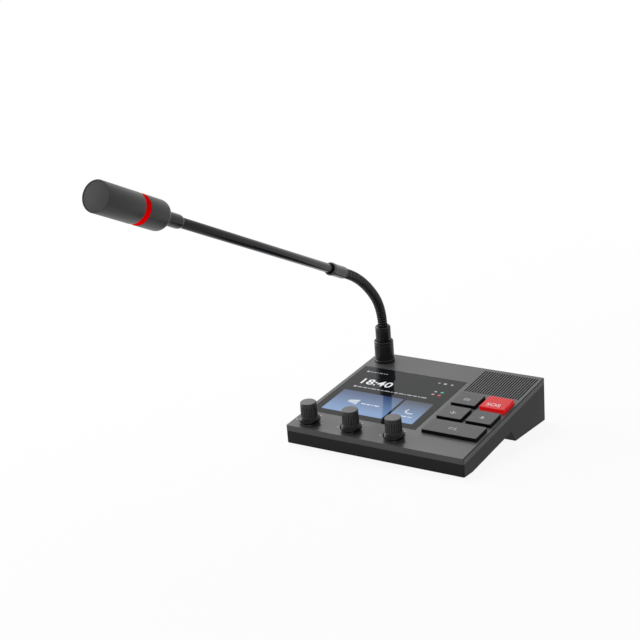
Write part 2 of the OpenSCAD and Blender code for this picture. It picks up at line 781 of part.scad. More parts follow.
// The ribbed tube: two rings to a rib outside, and a plain bore
module flex_tube() {
    step = (flex_len + 2 * socket_depth) / (2 * ribs);
    rings = 2 * ribs + 1;
    bores = ceil(ribs / ribs_per_bore_ring) + 1;
    outer = [for (i = [0:rings - 1])
        path_ring(i * step - socket_depth, flex_d / 2 - (i % 2 == 0 ? rib_h : 0))];
    inner = [for (i = [0:bores - 1])
        path_ring(i * (flex_len + 2 * socket_depth) / (bores - 1) - socket_depth, flex_bore / 2)];
    first_inner = rings * flex_sides;
    last_outer = first_inner - flex_sides;
    last_inner = first_inner + (bores - 1) * flex_sides;
    color([0.12, 0.12, 0.12]) slope() polyhedron(
        points = [for (r = outer) each r, for (r = inner) each r],
        faces = [for (i = [0:rings - 2]) each band(0, i, false),
            for (i = [0:bores - 2]) each band(first_inner, i, true),
            each end_ring(0, first_inner, false), each end_ring(last_outer, last_inner, true)]);
}

module neck_ferrule() {
    color([0.1, 0.1, 0.1]) arm() difference() {
        union() {
            cylinder(d = ferrule_d, h = ferrule_len);
            translate([0, 0, ferrule_len - ferrule_rim])
                cylinder(d = ferrule_d + 2 * ferrule_rim_t, h = ferrule_rim);
        }
        bore(-1, socket_depth, flex_d + 2 * flex_clear);
        bore(0, ferrule_len, neck_bore);
        bore(tube_start, ferrule_len + 1, arm_d + 2 * fit);
        bore(ferrule_len - ferrule_dish, ferrule_len + 1, arm_d + 1.6);
    }
}

module arm_tube() {
    color([0.1, 0.1, 0.1]) arm() ring(tube_start, tube_end, arm_d, arm_d - 2 * arm_wall);
}

module head_adaptor() {
    mouth = arm_d / 2 + 0.2;
    color([0.1, 0.1, 0.1]) arm() difference() {
        rotate_extrude() polygon([[0, adaptor_a], for (t = [0:15:90]) [mouth + (adaptor_d / 2 - mouth) * sin(t),
            adaptor_a + adaptor_cone * (1 - cos(t))], [adaptor_d / 2, head_a], [head_spigot_d / 2, head_a],
            [head_spigot_d / 2, head_a + head_spigot_len], [0, head_a + head_spigot_len]]);
        bore(adaptor_a - 1, head_a + head_spigot_len + 1, arm_d - 2 * arm_wall);
        bore(adaptor_a - 1, tube_end, arm_d + 2 * fit);
    }
}

module head_rear_shell() {
    color([0.2, 0.2, 0.2]) arm() difference() {
        rotate_extrude() {
            translate([0, head_a]) square([head_d / 2 - head_round, head_rear_len]);
            translate([0, head_a + head_round]) square([head_d / 2, head_rear_len - head_round]);
            intersection() {
                translate([head_d / 2 - head_round, head_a + head_round]) circle(head_round);
                translate([0, head_a]) square([head_d / 2, head_rear_len]);
            }
        }
        bore(head_a + head_round + 1, ring_a + 1, head_bore);
        bore(head_a + rear_wall, ring_a, head_bore - 2 * head_round + 2);
        bore(head_a - 1, ring_a, head_spigot_d + 2 * fit);
    }
}

module light_ring() {
    spigot = head_bore - 2 * fit;
    color("red") arm() {
        ring(ring_a, sleeve_a, head_d - 2 * ring_recess, spigot - 2 * ring_spigot_wall);
        ring(ring_a - ring_spigot, sleeve_a + ring_spigot, spigot, spigot - 2 * ring_spigot_wall);
    }
}

module ring_board() {
    inside = head_bore - 2 * fit - 2 * ring_spigot_wall - 2 * fit;
    middle = (ring_a + sleeve_a) / 2;
    color("darkgreen") arm() ring(middle - led_board_t / 2, middle + led_board_t / 2, inside, neck_bore);
}

module head_sleeve() {
    color([0.2, 0.2, 0.2]) arm() difference() {
        ring(sleeve_a, front_a, head_d, head_bore);
        bore(front_a - mesh_t - mesh_sink, front_a + 1, head_bore + 2 * mesh_step);
    }
}

module front_mesh() {
    color([0.17, 0.17, 0.17]) arm()
        bore(front_a - mesh_t - mesh_sink, front_a - mesh_sink, head_bore + 2 * mesh_step - 2 * fit);
}

foam_a = front_a - mesh_t - mesh_sink - foam_len;
holder_a = foam_a - holder_len;

module wind_foam() {
    color([0.15, 0.15, 0.15]) arm() bore(foam_a, foam_a + foam_len, head_bore - 2 * fit);
}

module capsule_holder() {
    color([0.25, 0.25, 0.25]) arm() ring(holder_a, foam_a, head_bore - 2 * fit, capsule_d + 2 * fit);
}

module mic_capsule() {
    color("silver") arm() bore(foam_a - capsule_len, foam_a, capsule_d);
}

lower_housing();
top_cover();
foot_pads();
housing_screws();
screen_glass();
display_panel();
grille_cloth();
speaker_frame();
speaker_cone();
speaker_magnet();
main_board();
board_screws();
lan_socket();
power_socket();
audio_socket();
key_board();
key_switches();
key_wide();
key_left();
key_right();
key_upper();
key_red();
knob_1();
knob_2();
knob_3();
knob_shaft_1();
knob_shaft_2();
knob_shaft_3();
control_bodies();
control_nuts();
control_board();
neck_base();
neck_nut();
neck_sleeve();
flex_tube();
neck_ferrule();
arm_tube();
head_adaptor();
head_rear_shell();
light_ring();
ring_board();
head_sleeve();
front_mesh();
wind_foam();
mic_capsule();
capsule_holder();
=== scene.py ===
"""Looks of a desk paging microphone: console, display, keys, knobs, gooseneck and microphone head."""
import json
import logging
import math
from dataclasses import dataclass
from enum import Enum
from functools import lru_cache
from typing import Callable, ClassVar, Dict, List, Mapping, Optional, Sequence, Tuple, Union

import bmesh
import bpy
from bmesh.types import BMEdge, BMesh, BMFace, BMVert
from bpy.types import ID, Material, Node, NodeSocket, NodeTree, Object
from mathutils import Matrix, Vector


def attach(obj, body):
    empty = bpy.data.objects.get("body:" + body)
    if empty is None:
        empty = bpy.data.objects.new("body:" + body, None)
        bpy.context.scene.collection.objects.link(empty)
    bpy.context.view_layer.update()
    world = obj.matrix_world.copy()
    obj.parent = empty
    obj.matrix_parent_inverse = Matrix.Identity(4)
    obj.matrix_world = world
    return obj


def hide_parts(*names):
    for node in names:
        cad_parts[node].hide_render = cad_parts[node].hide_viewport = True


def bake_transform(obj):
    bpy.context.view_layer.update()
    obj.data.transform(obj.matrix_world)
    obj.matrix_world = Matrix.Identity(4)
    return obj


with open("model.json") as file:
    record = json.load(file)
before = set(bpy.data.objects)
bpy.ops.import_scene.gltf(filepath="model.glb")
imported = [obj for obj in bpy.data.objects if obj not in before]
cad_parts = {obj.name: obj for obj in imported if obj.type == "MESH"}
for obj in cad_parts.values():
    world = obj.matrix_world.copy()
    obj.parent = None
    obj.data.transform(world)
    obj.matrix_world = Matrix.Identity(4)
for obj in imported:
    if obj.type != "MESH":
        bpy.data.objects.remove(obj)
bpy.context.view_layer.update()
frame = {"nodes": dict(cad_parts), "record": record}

MM = 0.001
MICRON = 1e-6
TOUCH = 1e-7
SHARP_EDGE = 25.0
TURNED_CREASE = 32.0
EDGE_STEPS, RIM_STEPS, CORNER_STEPS, ARC_STEPS = 2, 3, 4, 6
FLOAT, COLOR = "NodeSocketFloat", "NodeSocketColor"
LOG = logging.getLogger("paging_microphone")

Point2 = Tuple[float, float]
Point3 = Tuple[float, float, float]
Colour = Tuple[float, float, float]
Values = Mapping[Union[str, int], object]


class Body(str, Enum):
    """The bodies that several pieces ride on."""

    CONSOLE = "console"
    NECK = "neck"
    ARM = "arm"


@dataclass(frozen=True)
class Stance:
    """Where the sloped top face, the neck and the arm stand in the shared frame, in millimetres and degrees."""

    tilt: float = 8.25
    front_height: float = 13.8
    pad_proud: float = 1.0
    rear_pad: float = 115.0
    top_width: float = 138.65
    top_depth: float = 138.8
    neck_left: float = 11.9
    neck_rear: float = 12.6
    collar_top: float = 29.0
    bend_radius_1: float = 44.0
    bend_angle_1: float = 37.5
    bend_radius_2: float = 113.0
    arm_rise: float = 27.7
    tail: float = 7.2

    def slope(self) -> Matrix:
        """Gives the place of the top face: x across, y up the slope, z out of the face.

        Returns:
            The matrix from the slope's frame to the shared frame, in metres.
        """
        a = math.radians(self.tilt)
        y = -self.rear_pad - self.front_height * math.sin(a)
        z = self.pad_proud + self.front_height * math.cos(a)
        return Matrix.Translation((0, y * MM, z * MM)) @ Matrix.Rotation(a, 4, "X")

    @property
    def neck_x(self) -> float:
        """Gives the neck's place across the console."""
        return -self.top_width / 2 + self.neck_left

    @property
    def neck_v(self) -> float:
        """Gives the neck's place up the slope."""
        return self.top_depth - self.neck_rear

    @property
    def bends(self) -> Point2:
        """Gives the lengths of the neck's two bends."""
        second = 90 - self.bend_angle_1 - self.arm_rise
        return (self.bend_radius_1 * math.radians(self.bend_angle_1), self.bend_radius_2 * math.radians(second))

    @property
    def neck_length(self) -> float:
        """Gives the free length of the flexible tube."""
        return sum(self.bends) + self.tail

    def along(self, s: float) -> Tuple[Point2, float]:
        """Follows the neck's path.

        Args:
            s: Distance from the upper collar's rim, negative inside it.

        Returns:
            The point (up the slope, out of the face) and the heading above the slope in degrees.
        """
        v, n, heading = self.neck_v, self.collar_top + min(s, 0.0), 90.0
        for radius, length in zip((self.bend_radius_1, self.bend_radius_2), self.bends):
            turn = math.degrees(min(max(s, 0.0), length) / radius)
            h0, h1 = math.radians(heading), math.radians(heading - turn)
            v += radius * (math.sin(h1) - math.sin(h0))
            n += radius * (math.cos(h1) - math.cos(h0))
            heading -= turn
            s -= length
        rest, h = max(s, 0.0), math.radians(heading)
        return (v - rest * math.cos(h), n + rest * math.sin(h)), heading

    def mark(self, s: float) -> Point3:
        """Gives a point of the neck's path in the shared frame, in metres."""
        (v, n), _ = self.along(s)
        return tuple(self.slope() @ Vector((self.neck_x * MM, v * MM, n * MM)))

    def arm(self) -> Matrix:
        """Gives the place of the arm: z along it from the ferrule's mouth.

        Returns:
            The matrix from the arm's frame to the shared frame, in metres.
        """
        (v, n), heading = self.along(self.neck_length)
        foot = Matrix.Translation((self.neck_x * MM, v * MM, n * MM))
        return self.slope() @ foot @ Matrix.Rotation(math.radians(90 - heading), 4, "X")


STANCE = Stance()


class Net:
    """A node tree with a short way to add nodes and to set or join their inputs."""

    def __init__(self, tree: NodeTree) -> None:
        """Takes hold of a tree."""
        self.tree = tree

    @classmethod
    def group(cls, name: str, ins: Dict[str, str], outs: Dict[str, str]) -> Tuple["Net", Node, Node]:
        """Starts a node group.

        Args:
            name: The group's name.
            ins: Socket types of its inputs by name.
            outs: Socket types of its outputs by name.

        Returns:
            The group's net, and the nodes of its inputs and outputs.
        """
        net = cls(bpy.data.node_groups.new(name, "ShaderNodeTree"))
        for side, sockets in (("INPUT", ins), ("OUTPUT", outs)):
            for label, kind in sockets.items():
                net.tree.interface.new_socket(name=label, in_out=side, socket_type=kind)
        return net, net.add("NodeGroupInput"), net.add("NodeGroupOutput")

    def add(self, kind: str, values: Optional[Values] = None, **settings: object) -> Node:
        """Adds a node.

        Args:
            kind: Its type.
            values: Values of its inputs by name or number, or outputs that are joined to them.
            **settings: Values of its own settings.

        Returns:
            The new node.
        """
        node = self.tree.nodes.new(kind)
        for name, value in settings.items():
            setattr(node, name, value)
        self.fill(node, values or {})
        return node

    def fill(self, node: Node, values: Values) -> None:
        """Sets inputs of a node, or joins outputs to them.

        Args:
            node: The node.
            values: Values or outputs, by the inputs' names or numbers.
        """
        for key, value in values.items():
            if isinstance(value, NodeSocket):
                self.tree.links.new(value, node.inputs[key])
            else:
                node.inputs[key].default_value = value

    def place(self) -> NodeSocket:
        """Adds the object's own coordinates."""
        return self.add("ShaderNodeTexCoord").outputs["Object"]

    def seen(self) -> NodeSocket:
        """Adds a mask of what the camera, mirrors and glass see.

        Returns:
            The mask's output.
        """
        path = self.add("ShaderNodeLightPath").outputs
        last = path["Is Camera Ray"]
        for other in ("Is Glossy Ray", "Is Transmission Ray"):
            last = self.add("ShaderNodeMath", {0: last, 1: path[other]}, operation="MAXIMUM").outputs[0]
        return last


class Shading:
    """Shader node groups that the finishes share, each built once."""

    @staticmethod
    @lru_cache(maxsize=None)
    def grain() -> NodeTree:
        """Makes the fine spark-eroded grain of mouldings and paint.

        Returns:
            A group from Scale to Height.
        """
        net, start, end = Net.group("moulded_grain", {"Scale": FLOAT}, {"Height": FLOAT})
        spread = {"Vector": net.place(), "Scale": start.outputs["Scale"]}
        noise = net.add("ShaderNodeTexNoise", {**spread, "Detail": 3.0})
        cells = net.add("ShaderNodeTexVoronoi", spread)
        height = net.add("ShaderNodeMath", {0: cells.outputs["Distance"], 1: 0.6, 2: noise.outputs["Fac"]},
                         operation="MULTIPLY_ADD")
        net.fill(end, {"Height": height.outputs[0]})
        return net.tree

    @staticmethod
    @lru_cache(maxsize=None)
    def patches() -> NodeTree:
        """Makes the slow unevenness of handled surfaces.

        Returns:
            A group from two colours, Scale, Roughness and Spread to Color and Roughness.
        """
        ins = {"Color": COLOR, "Second": COLOR, "Scale": FLOAT, "Roughness": FLOAT, "Spread": FLOAT}
        net, start, end = Net.group("soft_patches", ins, {"Color": COLOR, "Roughness": FLOAT})
        given = start.outputs
        noise = net.add("ShaderNodeTexNoise", {"Vector": net.place(), "Scale": given["Scale"], "Detail": 4.0})
        share = noise.outputs["Fac"]
        mix = net.add("ShaderNodeMix", {0: share, 6: given["Color"], 7: given["Second"]}, data_type="RGBA")
        centred = net.add("ShaderNodeMath", {0: share, 1: 0.5}, operation="SUBTRACT")
        rough = net.add("ShaderNodeMath", {0: centred.outputs[0], 1: given["Spread"], 2: given["Roughness"]},
                        operation="MULTIPLY_ADD")
        net.fill(end, {"Color": mix.outputs[2], "Roughness": rough.outputs[0]})
        return net.tree


@dataclass(frozen=True)
class Look:
    """What covers a face."""

    name: str

    @lru_cache(maxsize=None)
    def material(self) -> Material:
        """Builds the material the first time and gives it.

        Returns:
            The Blender material of this look.
        """
        mat = bpy.data.materials.new(self.name)
        mat.use_nodes = True
        net = Net(mat.node_tree)
        self.wire(net, net.tree.nodes["Principled BSDF"])
        return mat

    def wire(self, net: Net, bsdf: Node) -> None:
        """Wires the look to its surface, given the material's nodes and the surface's node."""
        raise NotImplementedError


@dataclass(frozen=True)
class Finish(Look):
    """A surface finish: colour with soft patches, roughness with its spread, and a fine grain.

    Scales are in cells per metre, and grain_depth is in micrometres.
    """

    colour: Colour
    second: Colour
    roughness: float
    spread: float
    patch_scale: float
    grain_scale: float
    grain_depth: float
    specular: float = 0.5
    metallic: float = 0.0
    lit: float = 0.0

    def wire(self, net: Net, bsdf: Node) -> None:
        """Wires the patches and the grain to the surface.

        Args:
            net: The material's nodes.
            bsdf: The surface's node.
        """
        patch = net.add("ShaderNodeGroup", node_tree=Shading.patches())
        net.fill(patch, {"Color": (*self.colour, 1), "Second": (*self.second, 1), "Scale": self.patch_scale,
                         "Roughness": self.roughness, "Spread": self.spread})
        grain = net.add("ShaderNodeGroup", {"Scale": self.grain_scale}, node_tree=Shading.grain())
        bump = net.add("ShaderNodeBump", {"Strength": 0.5, "Distance": self.grain_depth * MICRON,
                                          "Height": grain.outputs["Height"]})
        net.fill(bsdf, {"Base Color": patch.outputs["Color"], "Roughness": patch.outputs["Roughness"],
                        "Normal": bump.outputs["Normal"], "Metallic": self.metallic,
                        "Specular IOR Level": self.specular, "Emission Color": (*self.colour, 1),
                        "Emission Strength": self.lit})


@dataclass(frozen=True)
class Glow(Look):
    """A lit area of the display: its colour runs from its near end to its far end, in millimetres."""

    near: Colour
    far: Colour
    far_y: float = 0.0
    near_y: float = -79.0
    roughness: float = 0.05
    unlit: Colour = (0.01, 0.01, 0.012)

    def wire(self, net: Net, bsdf: Node) -> None:
        """Wires the light to the surface.

        Args:
            net: The material's nodes.
            bsdf: The surface's node.
        """
        parts = net.add("ShaderNodeSeparateXYZ", {0: net.place()})
        share = net.add("ShaderNodeMapRange", {"Value": parts.outputs["Y"], "From Min": self.near_y * MM,
                                               "From Max": self.far_y * MM})
        mix = net.add("ShaderNodeMix", {0: share.outputs[0], 6: (*self.near, 1), 7: (*self.far, 1)}, data_type="RGBA")
        net.fill(bsdf, {"Emission Color": mix.outputs[2], "Emission Strength": 1.0,
                        "Base Color": (*self.unlit, 1), "Roughness": self.roughness})


def greys(first: float, second: float, blue: float = 0.0) -> Tuple[Colour, Colour]:
    """Gives the greys of two levels, both with a little more blue if asked."""
    return (first, first, first + blue), (second, second, second + blue)


def shown(name: str, data: ID) -> Object:
    """Makes an object and links it to the scene.

    Args:
        name: The object's name.
        data: Its mesh, curve, lamp or camera.

    Returns:
        The new object.
    """
    made = bpy.data.objects.new(name, data)
    bpy.context.scene.collection.objects.link(made)
    return made


RED = ((0.62, 0.006, 0.008), (0.68, 0.009, 0.011))

# Each finish: name, two colours, roughness and its spread, patches, grain and its depth, specular level.
COVER = Finish("cover_grey_texture", *greys(0.070, 0.082, 0.001), 0.29, 0.06, 30, 2300, 10, 0.28)
# Painted light: a paler, duller copy of the cover's grey for its upright sides, set for how light falls on them.
COVER_SIDE_PAINTED_LIGHT = Finish("cover_side_painted_light", *greys(0.074, 0.086, 0.001), 0.50, 0.08, 30, 2300, 40, 0.22)
HOUSING = Finish("housing_black_satin", *greys(0.018, 0.024), 0.45, 0.1, 30, 2300, 40, 0.08)
KEY_TOP = Finish("key_top_grey", (0.062, 0.062, 0.064), (0.075, 0.075, 0.076), 0.50, 0.06, 60, 3200, 30, 0.25)
# Painted shade: a near-black copy of the key grey for the keys' sides, where shade falls.
KEY_SIDE_PAINTED_SHADE = Finish("key_side_painted_shade", *greys(0.004, 0.006), 0.50, 0.08, 60, 3200, 20, 0.08)
KEY_RED = Finish("key_red_gloss", *RED, 0.38, 0.06, 60, 3000, 10, 0.22)
# Painted glow: the red key's sides give off light of their own through emission.
KEY_RED_SIDE_PAINTED_GLOW = Finish("key_red_side_painted_glow", *RED, 0.40, 0.06, 60, 3000, 10, 0.12, lit=0.5)
KNOB = Finish("knob_soft_black", *greys(0.030, 0.038), 0.36, 0.06, 90, 3600, 10, 0.20)
# Painted light: a paler copy of the knob's black for its flat top, where the light falls.
KNOB_TOP_PAINTED_LIGHT = Finish("knob_top_painted_light", *greys(0.130, 0.148), 0.55, 0.08, 90, 3600, 30, 0.25)
# The skirt's own glossy black, also laid in the flutes' grooves as painted shade.
SKIRT_AND_FLUTE_PAINTED_SHADE = Finish("knob_skirt_gloss_and_flute_painted_shade", *greys(0.004, 0.006), 0.13, 0.03, 90, 3000, 10, 0.16)
COLLAR = Finish("collar_black_satin", *greys(0.009, 0.013), 0.20, 0.05, 80, 3000, 10, 0.24)
# The flexible tube's black wire, lifted to a paler grey as painted sheen on its ridges.
FLEX_WITH_PAINTED_SHEEN = Finish("flex_black_wire_with_painted_sheen", *greys(0.060, 0.074, 0.001), 0.26, 0.08, 120, 3000, 10)
# Painted shade: a black laid in the flexible tube's grooves.
GROOVE_PAINTED_SHADE = Finish("flex_groove_painted_shade", *greys(0.001, 0.002), 0.70, 0.08, 120, 3000, 10, 0.02)
TUBE = Finish("arm_black_lacquer", *greys(0.004, 0.007, 0.001), 0.20, 0.05, 60, 3000, 10, 0.17)
HEAD = Finish("head_matte_black", *greys(0.025, 0.032), 0.36, 0.06, 70, 3600, 20, 0.28)
MESH = Finish("front_mesh_grey", *greys(0.092, 0.110), 0.60, 0.08, 120, 1500, 120, 0.15)
RING = Finish("ring_red_clear", (0.80, 0.000, 0.001), (0.86, 0.001, 0.002), 0.45, 0.05, 80, 2000, 10, 0.0, lit=0.17)
GLASS = Finish("glass_black", (0.005, 0.006, 0.007), (0.007, 0.008, 0.009), 0.045, 0.02, 25, 400, 0, 0.18)
PRINT = Finish("print_white", *greys(0.72, 0.80), 0.50, 0.05, 200, 3000, 0)
SYMBOL = Finish("symbol_pale", *greys(0.44, 0.50, 0.01), 0.50, 0.05, 200, 3000, 0)
# Painted shade: a dark finish laid in the cover's side steps and inside the slots, where shade falls.
PAINTED_SHADE_SEAM = Finish("painted_shade_seam", *greys(0.012, 0.018), 0.60, 0.06, 60, 2600, 10, 0.15)
RUBBER = Finish("pad_rubber", *greys(0.018, 0.028), 0.75, 0.1, 80, 1800, 80)
STEEL = Finish("screw_steel", *greys(0.52, 0.60, 0.01), 0.32, 0.1, 300, 3000, 10, metallic=1.0)
CLOTH = Finish("cloth_black", *greys(0.006, 0.012), 0.9, 0.05, 900, 1600, 200)
BOARD = Finish("board_green", (0.010, 0.070, 0.028), (0.016, 0.095, 0.040), 0.4, 0.1, 200, 900, 50)
SHIELD = Finish("socket_shield", *greys(0.55, 0.62, 0.01), 0.3, 0.1, 200, 2500, 20, metallic=1.0)
SOCKET = Finish("socket_black", *greys(0.012, 0.020), 0.5, 0.1, 120, 2600, 20)
GOLD = Finish("contact_gold", (0.72, 0.48, 0.18), (0.80, 0.55, 0.22), 0.25, 0.08, 300, 2600, 10, metallic=1.0)
PAPER = Finish("cone_paper", *greys(0.03, 0.05), 0.8, 0.1, 200, 1200, 100)
FOAM = Finish("foam_black", *greys(0.02, 0.04), 0.95, 0.05, 500, 1200, 400)
ALLOY = Finish("alloy_bare", *greys(0.60, 0.68, 0.01), 0.3, 0.1, 200, 2500, 10, metallic=1.0)
ZINC = Finish("zinc_grey", (0.30, 0.31, 0.32), (0.38, 0.39, 0.40), 0.4, 0.1, 200, 2500, 20, metallic=0.8)
PANEL = Finish("display_back", (0.05, 0.06, 0.09), (0.07, 0.08, 0.11), 0.3, 0.1, 60, 1800, 0)

SLOT_FINISH: Dict[str, Finish] = {
    "cover_grey": COVER, "housing_black": HOUSING, "pad_rubber": RUBBER, "screw_steel": STEEL, "front_glass": GLASS,
    "display": PANEL, "cloth": CLOTH, "speaker_metal": ZINC, "cone_paper": PAPER, "board_green": BOARD,
    "socket_shield": SHIELD, "socket_black": SOCKET, "key_grey": KEY_TOP, "key_red": KEY_RED, "knob_black": KNOB,
    "shaft_metal": ALLOY, "control_metal": ZINC, "nut_plate": STEEL, "neck_black": COLLAR, "flex_black": FLEX_WITH_PAINTED_SHEEN,
    "head_grey": HEAD, "ring_red": RING, "mesh_grey": MESH, "foam": FOAM, "capsule_metal": ALLOY,
    "holder_rubber": RUBBER,
}


class Shape:
    """Ways of shaping a bmesh with Blender's operators. Sizes are in millimetres."""

    @staticmethod
    def bevel(bm: BMesh, geom: Sequence[Union[BMEdge, BMVert]], width: float, segments: int,
              affect: str = "EDGES") -> List[BMFace]:
        """Rounds edges, or the corners of an outline if affect is VERTICES, and gives the new faces."""
        return bmesh.ops.bevel(bm, geom=geom, offset=width * MM, offset_type="OFFSET", segments=segments, profile=0.5,
                               affect=affect, clamp_overlap=True, material=-1)["faces"]

    @staticmethod
    def block(bm: BMesh, low: Sequence[float], high: Sequence[float], corner: float = 0.0,
              edge: float = 0.0) -> List[BMVert]:
        """Adds a block with round upright corners and a round upper rim.

        Args:
            bm: The mesh to add to.
            low: Lowest corner.
            high: Highest corner.
            corner: Radius of the upright corners.
            edge: Radius of the upper rim.

        Returns:
            The block's vertices before rounding.
        """
        made = bmesh.ops.create_cube(bm, size=1.0)["verts"]
        size = [(h - l) * MM for l, h in zip(low, high)]
        middle = [(h + l) / 2 * MM for l, h in zip(low, high)]
        bmesh.ops.scale(bm, vec=size, verts=made)
        bmesh.ops.translate(bm, vec=middle, verts=made)
        edges = {e for v in made for e in v.link_edges}
        rounds: List[BMFace] = []
        if corner:
            upright = [e for e in edges if abs(e.verts[0].co.z - e.verts[1].co.z) > size[2] / 2]
            rounds += Shape.bevel(bm, upright, corner, CORNER_STEPS)
        if edge:
            top = high[2] * MM
            rim = [e for e in bm.edges if e.is_valid and all(abs(v.co.z - top) < TOUCH for v in e.verts)
                   and all(low[i] * MM - TOUCH <= v.co[i] <= high[i] * MM + TOUCH for v in e.verts for i in (0, 1))]
            rounds += Shape.bevel(bm, rim, edge, RIM_STEPS)
        for face in rounds:
            if face.is_valid:
                face.smooth = True
        return made

    @staticmethod
    def disc(bm: BMesh, x: float, y: float, radius: float, height: float, steps: int = 20) -> None:
        """Adds a small upright disc."""
        bmesh.ops.create_cone(bm, cap_ends=True, segments=steps, radius1=radius * MM, radius2=radius * MM,
                              depth=height * MM, matrix=Matrix.Translation((x * MM, y * MM, height / 2 * MM)))

    @staticmethod
    def turned(profile: Sequence[Point2], soft: float, steps: int, closed: bool = True) -> BMesh:
        """Turns an outline of radius and height about the z axis.

        Args:
            profile: Points of the outline, in order.
            soft: Radius of the outline's corners.
            steps: Faces round the axis.
            closed: Whether the outline is a loop, as for a ring.

        Returns:
            The turned mesh.
        """
        bm = bmesh.new()
        verts = [bm.verts.new((r * MM, 0, z * MM)) for r, z in profile]
        for a, b in zip(verts, verts[1:]):
            bm.edges.new((a, b))
        if closed:
            bm.edges.new((verts[-1], verts[0]))
        corners = [v for v in verts if len(v.link_edges) == 2]
        if soft and corners:
            Shape.bevel(bm, corners, soft, RIM_STEPS, "VERTICES")
        bmesh.ops.spin(bm, geom=bm.verts[:] + bm.edges[:], axis=(0, 0, 1), cent=(0, 0, 0), angle=2 * math.pi,
                       steps=steps, use_merge=True)
        bmesh.ops.remove_doubles(bm, verts=bm.verts[:], dist=TOUCH)
        bmesh.ops.recalc_face_normals(bm, faces=bm.faces[:])
        return bm

    @staticmethod
    def arc(radius: float, reach: float, at: float, rise: float) -> List[Point2]:
        """Gives the points of a quarter round that starts at a radius and a height, reaches out and rises."""
        turns = [math.radians(90 / ARC_STEPS * k) for k in range(ARC_STEPS + 1)]
        return [(radius + reach * math.sin(t), at + rise * (1 - math.cos(t))) for t in turns]

    @staticmethod
    def softened(node: str, width: float, outer: Callable[[Vector], bool]) -> BMesh:
        """Copies a CAD node's mesh and rounds the sharp edges at its outside.

        Args:
            node: The CAD node.
            width: Radius of the edges.
            outer: Tells whether a point is at the outside.

        Returns:
            The rounded copy.
        """
        bm = bmesh.new()
        bm.from_mesh(frame["nodes"][node].data)
        bmesh.ops.remove_doubles(bm, verts=bm.verts[:], dist=MICRON)
        sharp = [e for e in bm.edges if len(e.link_faces) == 2 and e.calc_face_angle() > math.radians(SHARP_EDGE)
                 and all(outer(v.co) for v in e.verts)]
        for face in bm.faces:
            face.smooth = False
        for face in Shape.bevel(bm, sharp, width, EDGE_STEPS):
            face.smooth = True
        return bm

    @staticmethod
    def words(text: str, x: float, y: float, z: float, size: float, thick: float,
              bold: float = 0.0) -> BMesh:
        """Makes a mesh of a few plain characters.

        Args:
            text: The characters.
            x: Left edge.
            y: Foot of the characters.
            z: Where they stand.
            size: Their height, roughly.
            thick: Their thickness.
            bold: How much their strokes widen at each side.

        Returns:
            The mesh of the characters.
        """
        curve = bpy.data.curves.new("characters", "FONT")
        curve.body = text
        curve.size = size * MM
        curve.extrude = thick / 2 * MM
        curve.resolution_u = 4
        curve.offset = bold * MM
        holder = shown("characters", curve)
        bpy.context.view_layer.update()
        mesh = bpy.data.meshes.new_from_object(holder.evaluated_get(bpy.context.evaluated_depsgraph_get()))
        bpy.data.objects.remove(holder)
        bpy.data.curves.remove(curve)
        bm = bmesh.new()
        bm.from_mesh(mesh)
        bpy.data.meshes.remove(mesh)
        bmesh.ops.remove_doubles(bm, verts=bm.verts[:], dist=TOUCH)
        bmesh.ops.translate(bm, vec=(x * MM, y * MM, (z + thick / 2) * MM), verts=bm.verts[:])
        return bm


@dataclass
class Assembly:
    """A sub-assembly: it turns meshes into pieces that ride on a body."""

    body: str = Body.CONSOLE.value
    crease: Optional[float] = None

    def place(self) -> Matrix:
        """Gives where the assembly's meshes stand in the shared frame, unless they say otherwise."""
        return STANCE.slope()

    def add(self, name: str, bm: BMesh, looks: Sequence[Look], slot: str, nodes: Sequence[str] = (),
            body: Optional[str] = None, place: Optional[Matrix] = None, crease: Optional[float] = None,
            ride: bool = True) -> Object:
        """Makes a piece of a mesh and ties it to its body.

        Args:
            name: The piece's name.
            bm: The mesh, which is used up.
            looks: What covers its faces, in the order of their material numbers.
            slot: The record's material slot; not used.
            nodes: CAD nodes that the piece replaces.
            body: The body, if it isn't the assembly's own.
            place: Where the mesh stands, if it isn't the assembly's own place.
            crease: Edges sharper than this stay sharp, in degrees, if it isn't the assembly's own. Without either
                the mesh says which faces are smooth.
            ride: False to leave the piece without a body.

        Returns:
            The new object.
        """
        bmesh.ops.transform(bm, matrix=self.place() if place is None else place, verts=bm.verts[:])
        mesh = bpy.data.meshes.new(name)
        bm.to_mesh(mesh)
        bm.free()
        crease = crease or self.crease
        if crease:
            for polygon in mesh.polygons:
                polygon.use_smooth = True
            mesh.set_sharp_from_angle(angle=math.radians(crease))
        for look in looks:
            mesh.materials.append(look.material())
        piece = shown(name, mesh)
        if ride:
            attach(piece, body or self.body)
        if nodes:
            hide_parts(*nodes)
        LOG.info("made %s, %d faces, on %s", name, len(mesh.polygons), body or self.body)
        return piece


